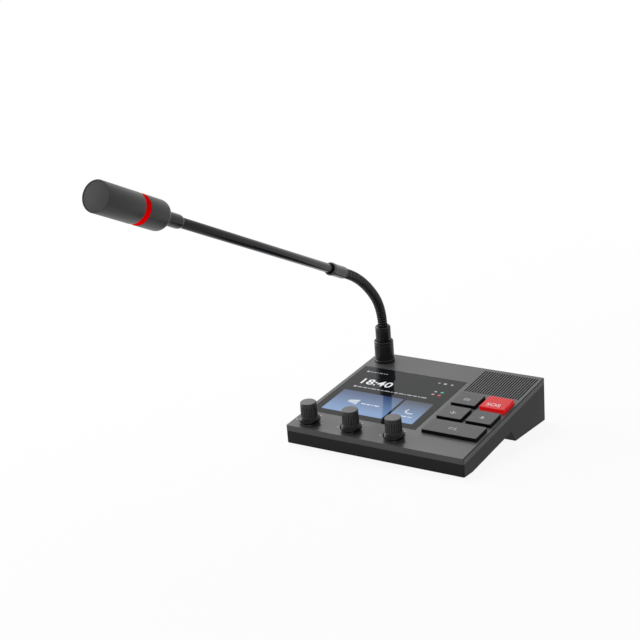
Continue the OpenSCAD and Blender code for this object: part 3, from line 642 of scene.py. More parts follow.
@dataclass
class Console(Assembly):
    """The case: lower housing, top cover and what shows at the rear."""

    cover_edge: float = 0.2
    housing_edge: float = 0.3
    skin: float = 0.4
    upright: float = 0.3
    slot_margin: float = 2.8
    slot_field: float = 43.2
    slot_rear: float = 3.9
    slot_length: float = 38.2
    plate: float = 2.6
    step: float = 0.5
    slack: float = 0.02
    sunk: float = 0.05
    contact_count: int = 8
    contact_pitch: float = 1.02
    contact_half: float = 0.2
    contact_height: float = 0.8
    contact_gap: float = 0.05
    contact_edge: float = 0.1
    lan_x: float = -8.0
    lan_floor: float = -17.0
    lan_depth: float = 13.0
    lan_mouth: float = 2.5

    def build(self) -> None:
        """Builds the case."""
        self.cover()
        self.housing()
        self.contacts()

    def cover(self) -> None:
        """Builds the top cover with soft edges, painted light on its upright sides and painted shade in the steps
        along them and inside the slots.
        """
        bm = Shape.softened("top_cover", self.cover_edge, self.outer)
        bm.normal_update()
        up = STANCE.slope().to_3x3() @ Vector((0, 0, 1))
        for face in bm.faces:
            # Upright faces take the painted light of the sides (material 2).
            side = 2 if abs(face.normal.dot(up)) < self.upright else 0
            # Faces in the side steps and inside the slots take the painted shade (material 1).
            face.material_index = 1 if self.in_painted_shade(face.calc_center_median()) else side
        self.add("cover_moulding", bm, [COVER, PAINTED_SHADE_SEAM, COVER_SIDE_PAINTED_LIGHT], "cover_grey", ["top_cover"], place=Matrix())

    def housing(self) -> None:
        """Builds the lower housing with soft edges."""
        bm = Shape.softened("lower_housing", self.housing_edge, self.outer)
        self.add("housing_moulding", bm, [HOUSING], "housing_black", ["lower_housing"], place=Matrix())

    def on_slope(self, point: Vector) -> Vector:
        """Gives a point of the shared frame in the slope's frame, in millimetres."""
        return (self.place().inverted() @ point) / MM

    def outer(self, point: Vector) -> bool:
        """Tells whether a point of the case is at its outside."""
        x, v, _ = self.on_slope(point)
        return abs(x) > STANCE.top_width / 2 - self.skin or v < self.skin or v > STANCE.top_depth - self.skin

    def in_painted_shade(self, point: Vector) -> bool:
        """Tells whether a point of the cover lies in a side step or inside a slot.

        Args:
            point: The point in the shared frame, in metres.

        Returns:
            True where shade is painted on the cover.
        """
        x, v, n = self.on_slope(point)
        right, rear = STANCE.top_width / 2, STANCE.top_depth
        step = abs(x) > right - self.step - self.slack and n > -self.step - self.slack
        field = right - self.slot_margin - self.slot_field < x < right - self.slot_margin
        return step or (field and 0 < rear - self.slot_rear - v < self.slot_length and -self.plate < n < -self.sunk)

    def contacts(self) -> None:
        """Builds the gold contacts inside the network socket."""
        bm = bmesh.new()
        rear, half = STANCE.top_depth, self.contact_half
        for i in range(self.contact_count):
            x = self.lan_x + (i - (self.contact_count - 1) / 2) * self.contact_pitch
            Shape.block(bm, (x - half, rear - self.lan_depth + self.contact_gap, self.lan_floor),
                        (x + half, rear - self.lan_mouth, self.lan_floor + self.contact_height),
                        edge=self.contact_edge)
        self.add("socket_contacts", bm, [GOLD], "socket_shield")


@dataclass
class Display(Assembly):
    """The front glass and the lit picture on it. The picture's places are shares of its unit."""

    left: float = -65.725
    front: float = 26.8
    width: float = 85.5
    depth: float = 84.2
    glass: float = 1.8
    corner: float = 0.8
    edge: float = 0.12
    film: float = 0.03
    unit: float = 138.0
    picture_left: float = -69.225
    picture_front: float = -1.5
    tile_rows: Point2 = (0.255, 0.505)
    tile_far: float = -47.0
    tile_colour: Colour = (0.16, 0.275, 0.485)
    clock_size: float = 12.4
    clock_bold: float = 0.12
    bar_gap: float = 0.006
    bar_corner: float = 0.25
    bar_sway: float = 0.55
    bar_beat: float = 2.3
    bar_start: float = 0.6
    mark_radius: float = 1.3
    spot_radius: float = 1.2
    horn_ends: Point2 = (-4.6, 3.6)
    horn_half: float = 1.5
    horn_flare: float = 2.8
    grip: Tuple[Point2, Point2] = ((-2.4, -4.8), (-0.4, -1.0))
    grip_corner: float = 0.3
    bow_radii: Point2 = (2.7, 4.5)
    bow_steps: int = 40
    bow_end: float = 2.5
    bow_end_radius: float = 1.6
    thin: float = 0.9

    def build(self) -> None:
        """Builds the glass and its picture."""
        self.pane()
        self.tiles()
        self.signs()
        self.lines()
        self.states()

    def at(self, u: float, v: float) -> Point2:
        """Turns a place in the picture into millimetres on the slope."""
        return u * self.unit + self.picture_left, v * self.unit + self.picture_front

    def pane(self) -> None:
        """Builds the front glass."""
        bm = bmesh.new()
        Shape.block(bm, (self.left, self.front, -self.glass),
                    (self.left + self.width, self.front + self.depth, 0.0), self.corner, self.edge)
        self.add("front_glass_pane", bm, [GLASS], "front_glass", ["screen_glass"])

    def tiles(self) -> None:
        """Builds the two lit tiles."""
        sides = (("left", 0.067, 0.425, (0.010, 0.028, 0.100)), ("right", 0.44, 0.60, (0.0, 0.0, 0.0)))
        low, high = self.tile_rows
        for side, u0, u1, far in sides:
            bm = bmesh.new()
            Shape.block(bm, (*self.at(u0, low), 0.0), (*self.at(u1, high), self.film), self.corner)
            lit = Glow("tile_lit_" + side, self.tile_colour, far, self.tile_far)
            self.add("picture_tile_" + side, bm, [lit], "display")

    def signs(self) -> None:
        """Builds the clock, the tiles' text bars and their signs."""
        x, y = self.at(0.088, 0.604)
        bm = Shape.words("18:40", x, y, 0.0, self.clock_size, self.film, self.clock_bold)
        self.bar(bm, 0.240, 0.345, 0.378, 0.012, 4)
        self.bar(bm, 0.503, 0.563, 0.322, 0.011, 2)
        self.horn(bm, *self.at(0.19, 0.385))
        self.receiver(bm, *self.at(0.528, 0.385))
        white = (0.80, 0.82, 0.85)
        self.add("picture_signs", bm, [Glow("sign_lit_white", white, white)], "display")

    def lines(self) -> None:
        """Builds the paler text bars and small marks."""
        bm = bmesh.new()
        self.bar(bm, 0.115, 0.53, 0.56, 0.009, 15)
        self.bar(bm, 0.09, 0.195, 0.755, 0.008, 6)
        marks = ((0.075, 0.755, 20), (0.100, 0.56, 20), (0.51, 0.755, 3), (0.545, 0.755, 20), (0.585, 0.755, 4),
                 (0.54, 0.65, 4))
        for u, v, corners in marks:
            Shape.disc(bm, *self.at(u, v), self.mark_radius, self.film, corners)
        self.add("picture_lines", bm, [Glow("sign_lit_pale", (0.40, 0.42, 0.45), (0.34, 0.35, 0.37))], "display")

    def states(self) -> None:
        """Builds the coloured spots."""
        spots = (("go", (0.01, 0.42, 0.24), 0.577, 0.65), ("stop", (0.60, 0.05, 0.06), 0.577, 0.615),
                 ("wait", (0.45, 0.22, 0.22), 0.54, 0.615))
        for name, colour, u, v in spots:
            bm = bmesh.new()
            Shape.disc(bm, *self.at(u, v), self.spot_radius, self.film)
            self.add("picture_" + name, bm, [Glow("sign_lit_" + name, colour, colour)], "display")

    def bar(self, bm: BMesh, u0: float, u1: float, v: float, high: float, pieces: int) -> None:
        """Adds a line of plain bars in place of words.

        Args:
            bm: The mesh to add to.
            u0: Start of the line.
            u1: End of the line.
            v: Middle of the line.
            high: Height of the bars.
            pieces: How many bars the line is broken into.
        """
        lengths = [1.0 + self.bar_sway * math.sin(self.bar_beat * i + self.bar_start) for i in range(pieces)]
        scale = (u1 - u0 - self.bar_gap * (pieces - 1)) / sum(lengths)
        for length in lengths:
            low, top = self.at(u0, v - high / 2), self.at(u0 + length * scale, v + high / 2)
            Shape.block(bm, (*low, 0.0), (*top, self.film), self.bar_corner)
            u0 += length * scale + self.bar_gap

    def horn(self, bm: BMesh, x: float, y: float) -> None:
        """Adds a plain horn sign: a bell that widens, with a grip.

        Args:
            bm: The mesh to add to.
            x: Middle of the sign across the slope.
            y: Middle of the sign up the slope.
        """
        left, right = self.horn_ends
        made = Shape.block(bm, (x + left, y - self.horn_half, 0.0), (x + right, y + self.horn_half, self.film))
        wide = [v for v in made if v.co.x > x * MM]
        bmesh.ops.scale(bm, vec=(1, self.horn_flare, 1), verts=wide, space=Matrix.Translation((0, -y * MM, 0)))
        (x0, y0), (x1, y1) = self.grip
        Shape.block(bm, (x + x0, y + y0, 0.0), (x + x1, y + y1, self.film * self.thin), self.grip_corner)

    def receiver(self, bm: BMesh, x: float, y: float) -> None:
        """Adds a plain receiver sign: a slanting bow with two ends.

        Args:
            bm: The mesh to add to.
            x: Middle of the sign across the slope.
            y: Middle of the sign up the slope.
        """
        r, out = self.bow_radii
        ring = Shape.turned([(r, 0), (out, 0), (out, self.film), (r, self.film)], 0.0, self.bow_steps)
        cut = bmesh.ops.bisect_plane(ring, geom=ring.verts[:] + ring.edges[:] + ring.faces[:], plane_co=(0, 0, 0),
                                     plane_no=(1, 1, 0), clear_outer=True)["geom_cut"]
        bmesh.ops.holes_fill(ring, edges=[e for e in cut if isinstance(e, BMEdge)], sides=0)
        bmesh.ops.translate(ring, vec=(x * MM, y * MM, 0), verts=ring.verts[:])
        bow = bpy.data.meshes.new("bow")
        ring.to_mesh(bow)
        ring.free()
        bm.from_mesh(bow)
        bpy.data.meshes.remove(bow)
        for end in (-self.bow_end, self.bow_end):
            Shape.disc(bm, x + end, y - end, self.bow_end_radius, self.film * self.thin)


@dataclass
class KeyPad(Assembly):
    """The five press keys and their signs.

    A sign is a set of bars, each with its middle, half width and half depth.
    """

    left: float = 25.075
    key_width: float = 19.0
    key_depth: float = 18.6
    gap_x: float = 3.4
    gap_v: float = 4.5
    front: float = 25.4
    height: float = 2.6
    red_height: float = 3.2
    foot: float = -2.4
    corner: float = 0.9
    rim: float = 0.35
    film: float = 0.02
    top_facing: float = 0.6
    sign_at: float = 0.42
    sign_corner: float = 0.6
    letters_in: float = 3.4
    letters_size: float = 6.2
    signs: ClassVar[Dict[str, Sequence[Tuple[float, float, float, float]]]] = {
        "wide": ((-1.4, 1.5, 1.8, 0.2), (-1.4, -0.6, 1.8, 0.2), (-3.1, 0.4, 0.2, 1.0), (1.4, 0.7, 0.2, 1.9),
                 (2.2, -1.2, 1.0, 0.2)),
        "left": ((0.0, 0.7, 0.55, 1.3), (0.0, -1.3, 1.2, 0.2), (-1.9, 0.3, 0.2, 1.0), (1.9, 0.3, 0.2, 1.0)),
        "right": ((0.0, 1.0, 0.9, 1.0), (0.0, -0.4, 1.9, 0.2), (0.0, -1.3, 0.5, 0.3)),
        "upper": ((0.0, 1.5, 2.2, 0.2), (0.0, -1.3, 2.2, 0.2), (-2.0, 0.1, 0.2, 1.2), (2.0, 0.1, 0.2, 1.2),
                  (0.0, 0.1, 1.0, 0.25)),
    }

    def build(self) -> None:
        """Builds the keys from the front row to the rear."""
        one, both = self.key_width, 2 * self.key_width + self.gap_x
        left, right = self.left, self.left + one + self.gap_x
        front, middle, rear = (self.front + i * (self.key_depth + self.gap_v) for i in range(3))
        self.key("wide", left, front, both)
        self.key("left", left, middle, one)
        self.key("right", right, middle, one)
        self.key("upper", left, rear, one)
        self.red(right, rear)

    def cap(self, x: float, v: float, wide: float, height: float) -> BMesh:
        """Shapes a key's cap, with its top as material 1.

        Args:
            x: Left edge.
            v: Front edge.
            wide: Width.
            height: How far it stands out.

        Returns:
            The cap's mesh.
        """
        bm = bmesh.new()
        Shape.block(bm, (x, v, self.foot), (x + wide, v + self.key_depth, height), self.corner, self.rim)
        bm.normal_update()
        for face in bm.faces:
            face.material_index = 1 if face.normal.z > self.top_facing else 0
        return bm

    def key(self, name: str, x: float, v: float, wide: float) -> None:
        """Builds a grey key with its sign.

        Args:
            name: Short name of the key.
            x: Left edge.
            v: Front edge.
            wide: Width.
        """
        body, z = name + "_key", self.height
        # The cap's sides take painted shade; its top takes the key grey.
        self.add("cap_" + name, self.cap(x, v, wide, z), [KEY_SIDE_PAINTED_SHADE, KEY_TOP], "key_grey", ["key_" + name], body)
        bm = bmesh.new()
        x, v = x + wide / 2, v + self.key_depth * self.sign_at
        for across, up, hw, hd in self.signs[name]:
            cx, cy, corner = x + across, v + up, min(hw, hd) * self.sign_corner
            Shape.block(bm, (cx - hw, cy - hd, z), (cx + hw, cy + hd, z + self.film), corner)
        self.add("symbol_" + name, bm, [SYMBOL], "key_grey", (), body)

    def red(self, x: float, v: float) -> None:
        """Builds the red call key with its generic letters and painted glow on its sides.

        Args:
            x: Left edge.
            v: Front edge.
        """
        body, z = "red_key", self.red_height
        # The cap's sides take the painted glow; its top takes the red.
        self.add("cap_red", self.cap(x, v, self.key_width, z), [KEY_RED_SIDE_PAINTED_GLOW, KEY_RED], "key_red", ["key_red"], body)
        bm = Shape.words("SOS", x + self.letters_in, v + self.letters_in, z, self.letters_size, self.film)
        self.add("symbol_red", bm, [PRINT], "key_red", (), body)


@dataclass
class KnobRow(Assembly):
    """The three fluted knobs and the dial dots round them."""

    first: float = -55.425
    pitch: float = 33.8
    v: float = 10.2
    gap: float = 0.8
    height: float = 15.2
    radius: float = 5.8
    skirt_radius: float = 7.8
    skirt_height: float = 4.2
    flutes: int = 20
    flute_depth: float = 0.42
    painted_shade_in_flutes: float = 0.35
    flute_steps: int = 8
    flute_power: int = 3
    soft: float = 0.22
    edge_crease: float = 40.0
    band: float = 2.6
    dots: Tuple[Point2, ...] = ((2.0, 12.0), (8.8, 0.6), (-11.3, 0.6))
    dot_radius: float = 0.45
    dot_steps: int = 14
    film: float = 0.02
    bodies: Tuple[str, str, str] = ("first_knob", "second_knob", "third_knob")

    def build(self) -> None:
        """Builds the knobs from left to right, then their dots."""
        for i, body in enumerate(self.bodies):
            self.knob(i, body)
        self.dial()

    def knob(self, i: int, body: str) -> None:
        """Builds one knob: a turned outline whose body is pressed into flutes, with painted light on its top and
        painted shade in the flutes' grooves.

        Args:
            i: Number of the knob from the left.
            body: The body that it rides on.
        """
        r, top, skirt, flare = self.radius, self.height, self.skirt_radius, self.skirt_height
        rise = [(r + 0.22, flare + 0.15), (r + 0.20, flare + 0.7), (r + 0.10, top - self.band - 0.5),
                (r + 0.06, top - self.band), (r + 0.02, top - 0.5), (r - 0.5, top), (0.0, top)]
        edge = [(skirt - 1.7, 0.0), (skirt - 0.7, 0.25), (skirt, 1.4), (skirt - 0.1, 2.6), (skirt - 0.7, 3.6),
                (skirt - 1.55, flare)]
        inner = [(0.0, 3.9), (4.4, 3.9), (6.27, 1.7), (6.27, 0.0)]
        bm = Shape.turned(inner + edge + rise, self.soft, self.flutes * self.flute_steps, False)
        low, high = (flare + 0.4) * MM, (top - self.band - 0.2) * MM
        for vert in bm.verts:
            reach = math.hypot(vert.co.x, vert.co.y)
            if low < vert.co.z < high and reach > (r - 0.4) * MM:
                sink = 1 - self.flute_depth * self.wave(vert.co) * MM / reach
                vert.co.x *= sink
                vert.co.y *= sink
        for face in bm.faces:
            middle = face.calc_center_median()
            # The flat top takes the painted light (material 2).
            painted_light_top = middle.z > (top - 0.02) * MM and math.hypot(middle.x, middle.y) < r * MM
            # The skirt takes its own black; the flutes' grooves take the same black as painted shade (material 1).
            dark = middle.z < flare * MM or (low < middle.z < high and self.wave(middle) > self.painted_shade_in_flutes)
            face.material_index = 2 if painted_light_top else 1 if dark else 0
        at = Matrix.Translation(((self.first + i * self.pitch) * MM, self.v * MM, self.gap * MM))
        self.add(f"knob_fluted_{i + 1}", bm, [KNOB, SKIRT_AND_FLUTE_PAINTED_SHADE, KNOB_TOP_PAINTED_LIGHT], "knob_black", [f"knob_{i + 1}"], body,
                 self.place() @ at, self.edge_crease)

    def wave(self, point: Vector) -> float:
        """Gives how deep a point's bearing lies in a flute, from 0 to 1."""
        return (0.5 + 0.5 * math.cos(self.flutes * math.atan2(point.y, point.x))) ** self.flute_power

    def dial(self) -> None:
        """Builds the printed dots round the knobs."""
        bm = bmesh.new()
        for i in range(len(self.bodies)):
            middle = self.first + i * self.pitch
            for x, v in self.dots:
                Shape.disc(bm, middle + x, self.v + v, self.dot_radius, self.film, self.dot_steps)
        self.add("dial_dots", bm, [PRINT], "cover_grey")


@dataclass
class Gooseneck(Assembly):
    """Collars, flexible tube and ferrule."""

    crease: Optional[float] = TURNED_CREASE
    collar_radius: float = 7.4
    flange_radius: float = 7.8
    collar_height: float = 17.1
    sleeve_radius: float = 5.9
    tube_radius: float = 3.76
    rib_depth: float = 0.5
    rib_pitch: float = 2.2
    rib_power: float = 2.2
    rings_per_rib: int = 8
    painted_groove_shade: float = 0.3
    bore_radius: float = 2.2
    wire_radius: float = 2.5
    seat_radius: float = 3.8
    tube_steps: int = 36
    tube_crease: float = 60.0
    collar_steps: int = 72
    ferrule_steps: int = 64
    socket_depth: float = 8.0
    slack: float = 0.05
    ferrule_radius: float = 4.5
    ferrule_length: float = 19.8
    painted_light_rim: float = 1.2
    rim_inside: float = 3.9

    def build(self) -> None:
        """Builds the neck from the panel up."""
        self.base()
        self.sleeve()
        half = STANCE.neck_length / 2
        low, high = -self.socket_depth + self.slack, 2 * half + self.socket_depth - self.slack
        self.tube("flex_lower", low, half, Body.CONSOLE.value, Body.NECK.value)
        self.tube("flex_upper", half, high, Body.NECK.value, Body.ARM.value)
        self.ferrule()

    def foot(self) -> Matrix:
        """Gives the place of the neck's foot on the slope."""
        return STANCE.slope() @ Matrix.Translation((STANCE.neck_x * MM, STANCE.neck_v * MM, 0))

    def base(self) -> None:
        """Builds the lower collar with its flange and seam."""
        r, f, h = self.collar_radius, self.flange_radius, self.collar_height
        w, d = self.wire_radius, self.socket_depth
        bm = Shape.turned([
            (w, -9.0), (5.0, -9.0), (5.0, 0.0), (f, 0.0), (f, 1.6), (r + 0.05, 2.0), (r, h - 2.5),
            (r - 0.22, h - 2.35), (r - 0.22, h - 2.05), (r, h - 1.9), (r, h - 0.7), (r - 0.5, h), (4.65, h),
            (4.65, h - d), (w, h - d),
        ], 0.12, self.collar_steps)
        self.add("collar_lower", bm, [COLLAR], "neck_black", ["neck_base"], place=self.foot())

    def sleeve(self) -> None:
        """Builds the upper collar with its chamfered rim."""
        r, low, top = self.sleeve_radius, self.collar_height, STANCE.collar_top
        w, seat, d = self.wire_radius, self.seat_radius, self.socket_depth
        bm = Shape.turned([
            (w, low - d), (4.6, low - d), (4.6, low), (r - 0.15, low), (r, low + 0.3), (r, top - 2.3),
            (r - 0.15, top - 2.2), (r - 0.15, top - 1.9), (r, top - 1.8), (r, top - 0.9), (r - 0.9, top), (seat, top),
            (seat, top - d), (w, top - d),
        ], 0.1, self.collar_steps)
        self.add("collar_upper", bm, [COLLAR], "neck_black", ["neck_sleeve"], place=self.foot())

    def tube(self, name: str, start: float, end: float, first: str, second: str) -> None:
        """Builds one half of the flexible tube, a ribbed skin that follows the neck's path, with painted shade in its
        grooves and painted sheen on its ridges.

        It is left in the shared frame and tied to no body.

        Args:
            name: The piece's name.
            start: Where it starts along the path.
            end: Where it ends along the path.
            first: Body at its start.
            second: Body at its end; not used.
        """
        count = max(2, round((end - start) / self.rib_pitch * self.rings_per_rib))
        marks = [start + (end - start) * i / count for i in range(count + 1)]
        bore = [(self.bore_radius, mark) for mark in reversed(marks[::self.rings_per_rib] + [end])]
        bm = Shape.turned([(self.tube_radius, mark) for mark in marks] + bore, 0.0, self.tube_steps)
        sunk = [self.wind(vert) for vert in bm.verts]
        bm.verts.index_update()
        bmesh.ops.recalc_face_normals(bm, faces=bm.faces[:])
        # Faces deep in a groove take the painted shade (material 1).
        for face in bm.faces:
            depth = sum(sunk[v.index] for v in face.verts) / len(face.verts)
            face.material_index = 1 if depth > self.painted_groove_shade else 0
        # The tube's ridges take the painted sheen (material 0).
        piece = self.add(name, bm, [FLEX_WITH_PAINTED_SHEEN, GROOVE_PAINTED_SHADE], "flex_black", ["flex_tube"], first,
                         crease=self.tube_crease, ride=False)
        STANCE.mark(max(start, 0.0))
        STANCE.mark(min(end, STANCE.neck_length))
        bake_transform(piece)

    def wind(self, vert: BMVert) -> float:
        """Moves a point of a straight tube to its place on the ribbed, bent one.

        Args:
            vert: The point.

        Returns:
            How far it is sunk in a groove, from 0 to 1.
        """
        s, angle = vert.co.z / MM, math.atan2(vert.co.y, vert.co.x)
        radius, sunk = math.hypot(vert.co.x, vert.co.y) / MM, 0.0
        if radius > self.tube_radius - self.rib_depth:
            sunk = abs(math.cos(math.pi * s / self.rib_pitch)) ** self.rib_power
            radius -= self.rib_depth * sunk
        (v, n), heading = STANCE.along(s)
        h, across, out = math.radians(heading), radius * math.cos(angle), radius * math.sin(angle)
        vert.co = Vector((STANCE.neck_x + across, v + out * math.sin(h), n + out * math.cos(h))) * MM
        return sunk

    def ferrule(self) -> None:
        """Builds the ferrule with its open ring, and painted light on its rim at the arm's side in the flexible
        tube's paler finish.
        """
        r, end = self.ferrule_radius, self.ferrule_length
        w, seat, d = self.wire_radius, self.seat_radius, self.socket_depth
        bm = Shape.turned([
            (w, d), (seat, d), (seat, 0.0), (r - 0.35, 0.0), (r, 0.45), (r, end - 2.5), (r + 0.3, end - 2.3),
            (r + 0.3, end - 0.9), (r + 0.12, end - 0.35), (r - 0.3, end), (3.85, end), (3.85, end - 0.9),
            (3.4, end - 0.9), (3.4, end - 10.0), (w, end - 10.0),
        ], 0.12, self.ferrule_steps)
        for face in bm.faces:
            middle = face.calc_center_median()
            # The rim at the arm's side takes painted light (material 1) against the shade at its mouth.
            rim = middle.z > (end - self.painted_light_rim) * MM and math.hypot(middle.x, middle.y) > self.rim_inside * MM
            face.material_index = 1 if rim else 0
        self.add("ferrule_sleeve", bm, [COLLAR, FLEX_WITH_PAINTED_SHEEN], "neck_black", ["neck_ferrule"], Body.ARM.value, STANCE.arm())


@dataclass
class Head(Assembly):
    """The arm tube, the adaptor and the microphone head with its light ring. Heights run along the arm."""

    body: str = Body.ARM.value
    crease: Optional[float] = TURNED_CREASE
    tube_radius: float = 3.35
    tube_wall: float = 1.0
    tube_start: float = 9.8
    socket: float = 12.0
    adaptor_at: float = 205.2
    adaptor_radius: float = 4.5
    adaptor_cone: float = 3.5
    adaptor_bore: float = 2.35
    spigot_radius: float = 3.5
    spigot_length: float = 6.0
    head_at: float = 223.8
    radius: float = 9.5
    rear_length: float = 22.3
    round_edge: float = 5.0
    ring_width: float = 4.8
    ring_recess: float = 0.15
    front_length: float = 34.2
    wall: float = 1.5
    shell_bore: float = 3.55
    ring_spigot: float = 3.0
    ring_wall: float = 1.4
    steps: int = 96
    tube_steps: int = 48
    adaptor_steps: int = 64
    shell_crease: float = 24.0

    def place(self) -> Matrix:
        """Gives where the arm stands in the shared frame."""
        return STANCE.arm()

    @property
    def ring_at(self) -> float:
        """Gives the height of the light ring's rear edge."""
        return self.head_at + self.rear_length

    @property
    def sleeve_at(self) -> float:
        """Gives the height of the front sleeve's rear edge."""
        return self.ring_at + self.ring_width

    @property
    def front_at(self) -> float:
        """Gives the height of the front face."""
        return self.sleeve_at + self.front_length

    def build(self) -> None:
        """Builds the arm from the ferrule to the front."""
        self.arm_tube()
        self.adaptor()
        self.rear()
        self.ring()
        self.sleeve()
        self.mesh()

    def arm_tube(self) -> None:
        """Builds the straight tube."""
        r, w, a, b = self.tube_radius, self.tube_wall, self.tube_start, self.adaptor_at + self.socket
        bm = Shape.turned([(r - w, a), (r, a), (r, b), (r - w, b)], 0.1, self.tube_steps)
        self.add("arm_straight", bm, [TUBE], "neck_black", ["arm_tube"])

    def adaptor(self) -> None:
        """Builds the adaptor with its rounded cone and spigot."""
        r, a, b, hole, out = self.adaptor_radius, self.adaptor_at, self.head_at, self.adaptor_bore, self.spigot_radius
        seat, mouth, tip = self.tube_radius + 0.05, self.tube_radius + 0.07, b + self.spigot_length
        bm = Shape.turned([(hole, a + self.socket), (seat, a + self.socket), (seat, a)]
                          + Shape.arc(mouth, r - mouth, a, self.adaptor_cone)
                          + [(r, b), (out, b), (out, tip), (hole, tip)], 0.0, self.adaptor_steps)
        self.add("adaptor_turned", bm, [COLLAR], "neck_black", ["head_adaptor"])

    def rear(self) -> None:
        """Builds the rear shell with its large round edge."""
        r, a, b, e, w, bore = self.radius, self.head_at, self.ring_at, self.round_edge, self.wall, self.shell_bore
        bm = Shape.turned([
            (bore, a), *Shape.arc(r - e, e, a, e), (r, b - 0.15), (r - 0.15, b), (r - w, b), (r - w, a + 6.0),
            (3.9, a + 3.0), (bore, a + 3.0),
        ], 0.0, self.steps)
        self.add("shell_rear", bm, [HEAD], "head_grey", ["head_rear_shell"], crease=self.shell_crease)

    def ring(self) -> None:
        """Builds the red light ring with its inner spigots."""
        r, a, b = self.radius - self.ring_recess, self.ring_at, self.sleeve_at
        s, d = self.radius - self.wall - 0.05, self.ring_spigot
        inner = s - self.ring_wall
        bm = Shape.turned([(inner, a - d), (s, a - d), (s, a), (r, a), (r, b), (s, b), (s, b + d), (inner, b + d)],
                          0.18, self.steps)
        self.add("ring_lit", bm, [RING], "ring_red", ["light_ring"])

    def sleeve(self) -> None:
        """Builds the front sleeve, with a painted highlight on its front edge in the mesh's grey."""
        r, a, b, w = self.radius, self.sleeve_at, self.front_at, self.wall
        bm = Shape.turned([(r - w, a), (r - 0.15, a), (r, a + 0.15), (r, b - 0.35), (r - 0.35, b), (r - w + 0.75, b),
                           (r - w + 0.75, b - 0.8), (r - w, b - 0.8)], 0.1, self.steps)
        # The front edge takes the mesh's grey as a painted highlight (material 1).
        for face in bm.faces:
            face.material_index = 1 if face.calc_center_median().z > (b - 0.3) * MM else 0
        self.add("shell_front", bm, [HEAD, MESH], "head_grey", ["head_sleeve"])

    def mesh(self) -> None:
        """Builds the fine mesh of the front face."""
        r, b = self.radius - self.wall + 0.7, self.front_at - 0.2
        bm = Shape.turned([(0.0, b - 0.6), (r, b - 0.6), (r, b), (0.0, b)], 0.1, self.steps, False)
        self.add("front_mesh_disc", bm, [MESH], "mesh_grey", ["front_mesh"])


@dataclass(frozen=True)
class Lamp:
    """A square soft lamp, with its place and size in metres and its power in watts."""

    name: str
    at: Point3
    size: float
    power: float


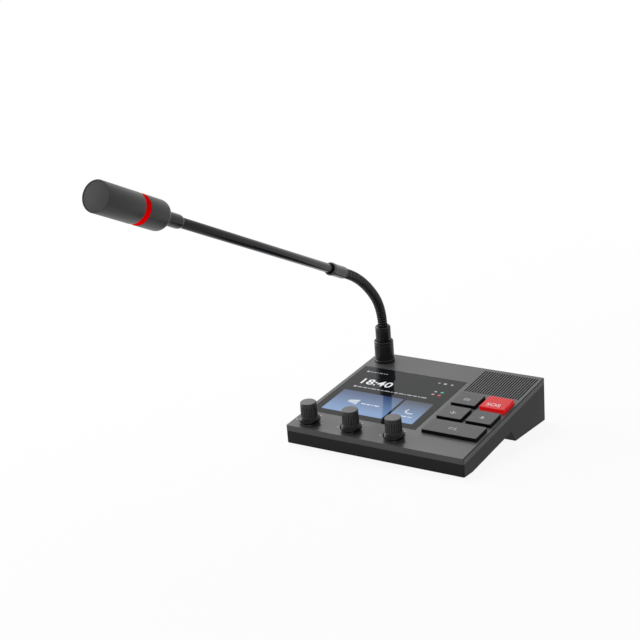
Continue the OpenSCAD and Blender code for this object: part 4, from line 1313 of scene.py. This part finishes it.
@dataclass
class Studio:
    """Floor, soft light and the camera at the photograph's place. The camera's place is in millimetres."""

    camera_at: Point3 = (438.125, -910.673, 336.248)
    right: Point3 = (0.856708, 0.515790, -0.003463)
    up: Point3 = (-0.127011, 0.217458, 0.967771)
    lens: float = 78.83
    sensor: float = 36.0
    clip: Point2 = (0.01, 50.0)
    target: Point3 = (0.0, -0.05, 0.06)
    lights: Tuple[Lamp, ...] = (
        Lamp("lamp_above", (-0.75, 0.5, 1.5), 1.2, 18.4), Lamp("lamp_left", (-1.3, -0.9, 0.9), 0.9, 4.5),
        Lamp("lamp_side", (-1.5, -0.12, 0.5), 1.1, 21.0), Lamp("lamp_right", (1.5, 0.4, 0.8), 0.8, 0.8))
    ambient: float = 0.26
    floor_half: float = 6.0
    floor_grey: float = 0.80
    floor_roughness: float = 0.9
    white_from: float = 0.3
    white_to: float = 0.9
    white_near: float = 0.91

    def build(self) -> None:
        """Builds the studio."""
        self.floor()
        self.world()
        self.lamps()
        self.camera()

    def floor(self) -> None:
        """Builds the pale floor, which keeps a light shadow near the object and turns white away from it."""
        bm = bmesh.new()
        bmesh.ops.create_grid(bm, x_segments=1, y_segments=1, size=self.floor_half)
        mesh = bpy.data.meshes.new("studio_floor")
        bm.to_mesh(mesh)
        bm.free()
        mat = bpy.data.materials.new("floor_pale")
        mat.use_nodes = True
        net = Net(mat.node_tree)
        bsdf = net.tree.nodes["Principled BSDF"]
        net.fill(bsdf, {"Base Color": (*[self.floor_grey] * 3, 1), "Roughness": self.floor_roughness})
        white = net.add("ShaderNodeEmission", {"Strength": 1.0})
        reach = net.add("ShaderNodeVectorMath", {0: net.place()}, operation="LENGTH")
        level = net.add("ShaderNodeMapRange", {"Value": reach.outputs["Value"], "From Min": self.white_from,
                                               "From Max": self.white_to, "To Min": self.white_near, "To Max": 1.0})
        share = net.add("ShaderNodeMath", {0: net.seen(), 1: level.outputs[0]}, operation="MULTIPLY")
        mix = net.add("ShaderNodeMixShader", {0: share.outputs[0], 1: bsdf.outputs[0], 2: white.outputs[0]})
        net.fill(net.tree.nodes["Material Output"], {"Surface": mix.outputs[0]})
        mesh.materials.append(mat)
        shown("studio_floor", mesh)

    def world(self) -> None:
        """Builds the white surround."""
        world = bpy.data.worlds.new("studio_world")
        bpy.context.scene.world = world
        world.use_nodes = True
        net = Net(world.node_tree)
        level = net.add("ShaderNodeMapRange", {"Value": net.seen(), "To Min": self.ambient, "To Max": 1.0})
        net.fill(net.tree.nodes["Background"], {"Color": (1, 1, 1, 1), "Strength": level.outputs[0]})

    def lamps(self) -> None:
        """Builds the lamps, all turned to the object."""
        for lamp in self.lights:
            data = bpy.data.lights.new(lamp.name, "AREA")
            data.size = lamp.size
            data.energy = lamp.power
            holder = shown(lamp.name, data)
            holder.location = lamp.at
            aim = Vector(self.target) - Vector(lamp.at)
            holder.rotation_euler = aim.to_track_quat("-Z", "Y").to_euler()

    def camera(self) -> None:
        """Builds the camera."""
        data = bpy.data.cameras.new("studio_camera")
        data.lens = self.lens
        data.sensor_width = self.sensor
        data.clip_start, data.clip_end = self.clip
        cam = shown("studio_camera", data)
        right, up = Vector(self.right).normalized(), Vector(self.up).normalized()
        turn = Matrix((right, up, right.cross(up))).transposed().to_4x4()
        cam.matrix_world = Matrix.Translation(Vector(self.camera_at) * MM) @ turn
        bpy.context.scene.camera = cam
        bpy.context.scene.view_settings.view_transform = "Standard"


def dress_nodes() -> None:
    """Gives every CAD node the finish of its material slot."""
    slots = {row["node"]: row["material_slot"] for row in frame["record"]["subparts"]}
    for name, node in frame["nodes"].items():
        finish = SLOT_FINISH[slots[name]]
        node.data.materials.clear()
        node.data.materials.append(finish.material())
        LOG.info("dressed %s with %s", name, finish.name)


def main() -> None:
    """Builds every sub-assembly in order."""
    logging.basicConfig(level=logging.INFO, format="%(name)s: %(message)s")
    Studio().build()
    dress_nodes()
    for assembly in (Console(), Display(), KeyPad(), KnobRow(), Gooseneck(), Head()):
        assembly.build()


if __name__ == "__main__":
    main()
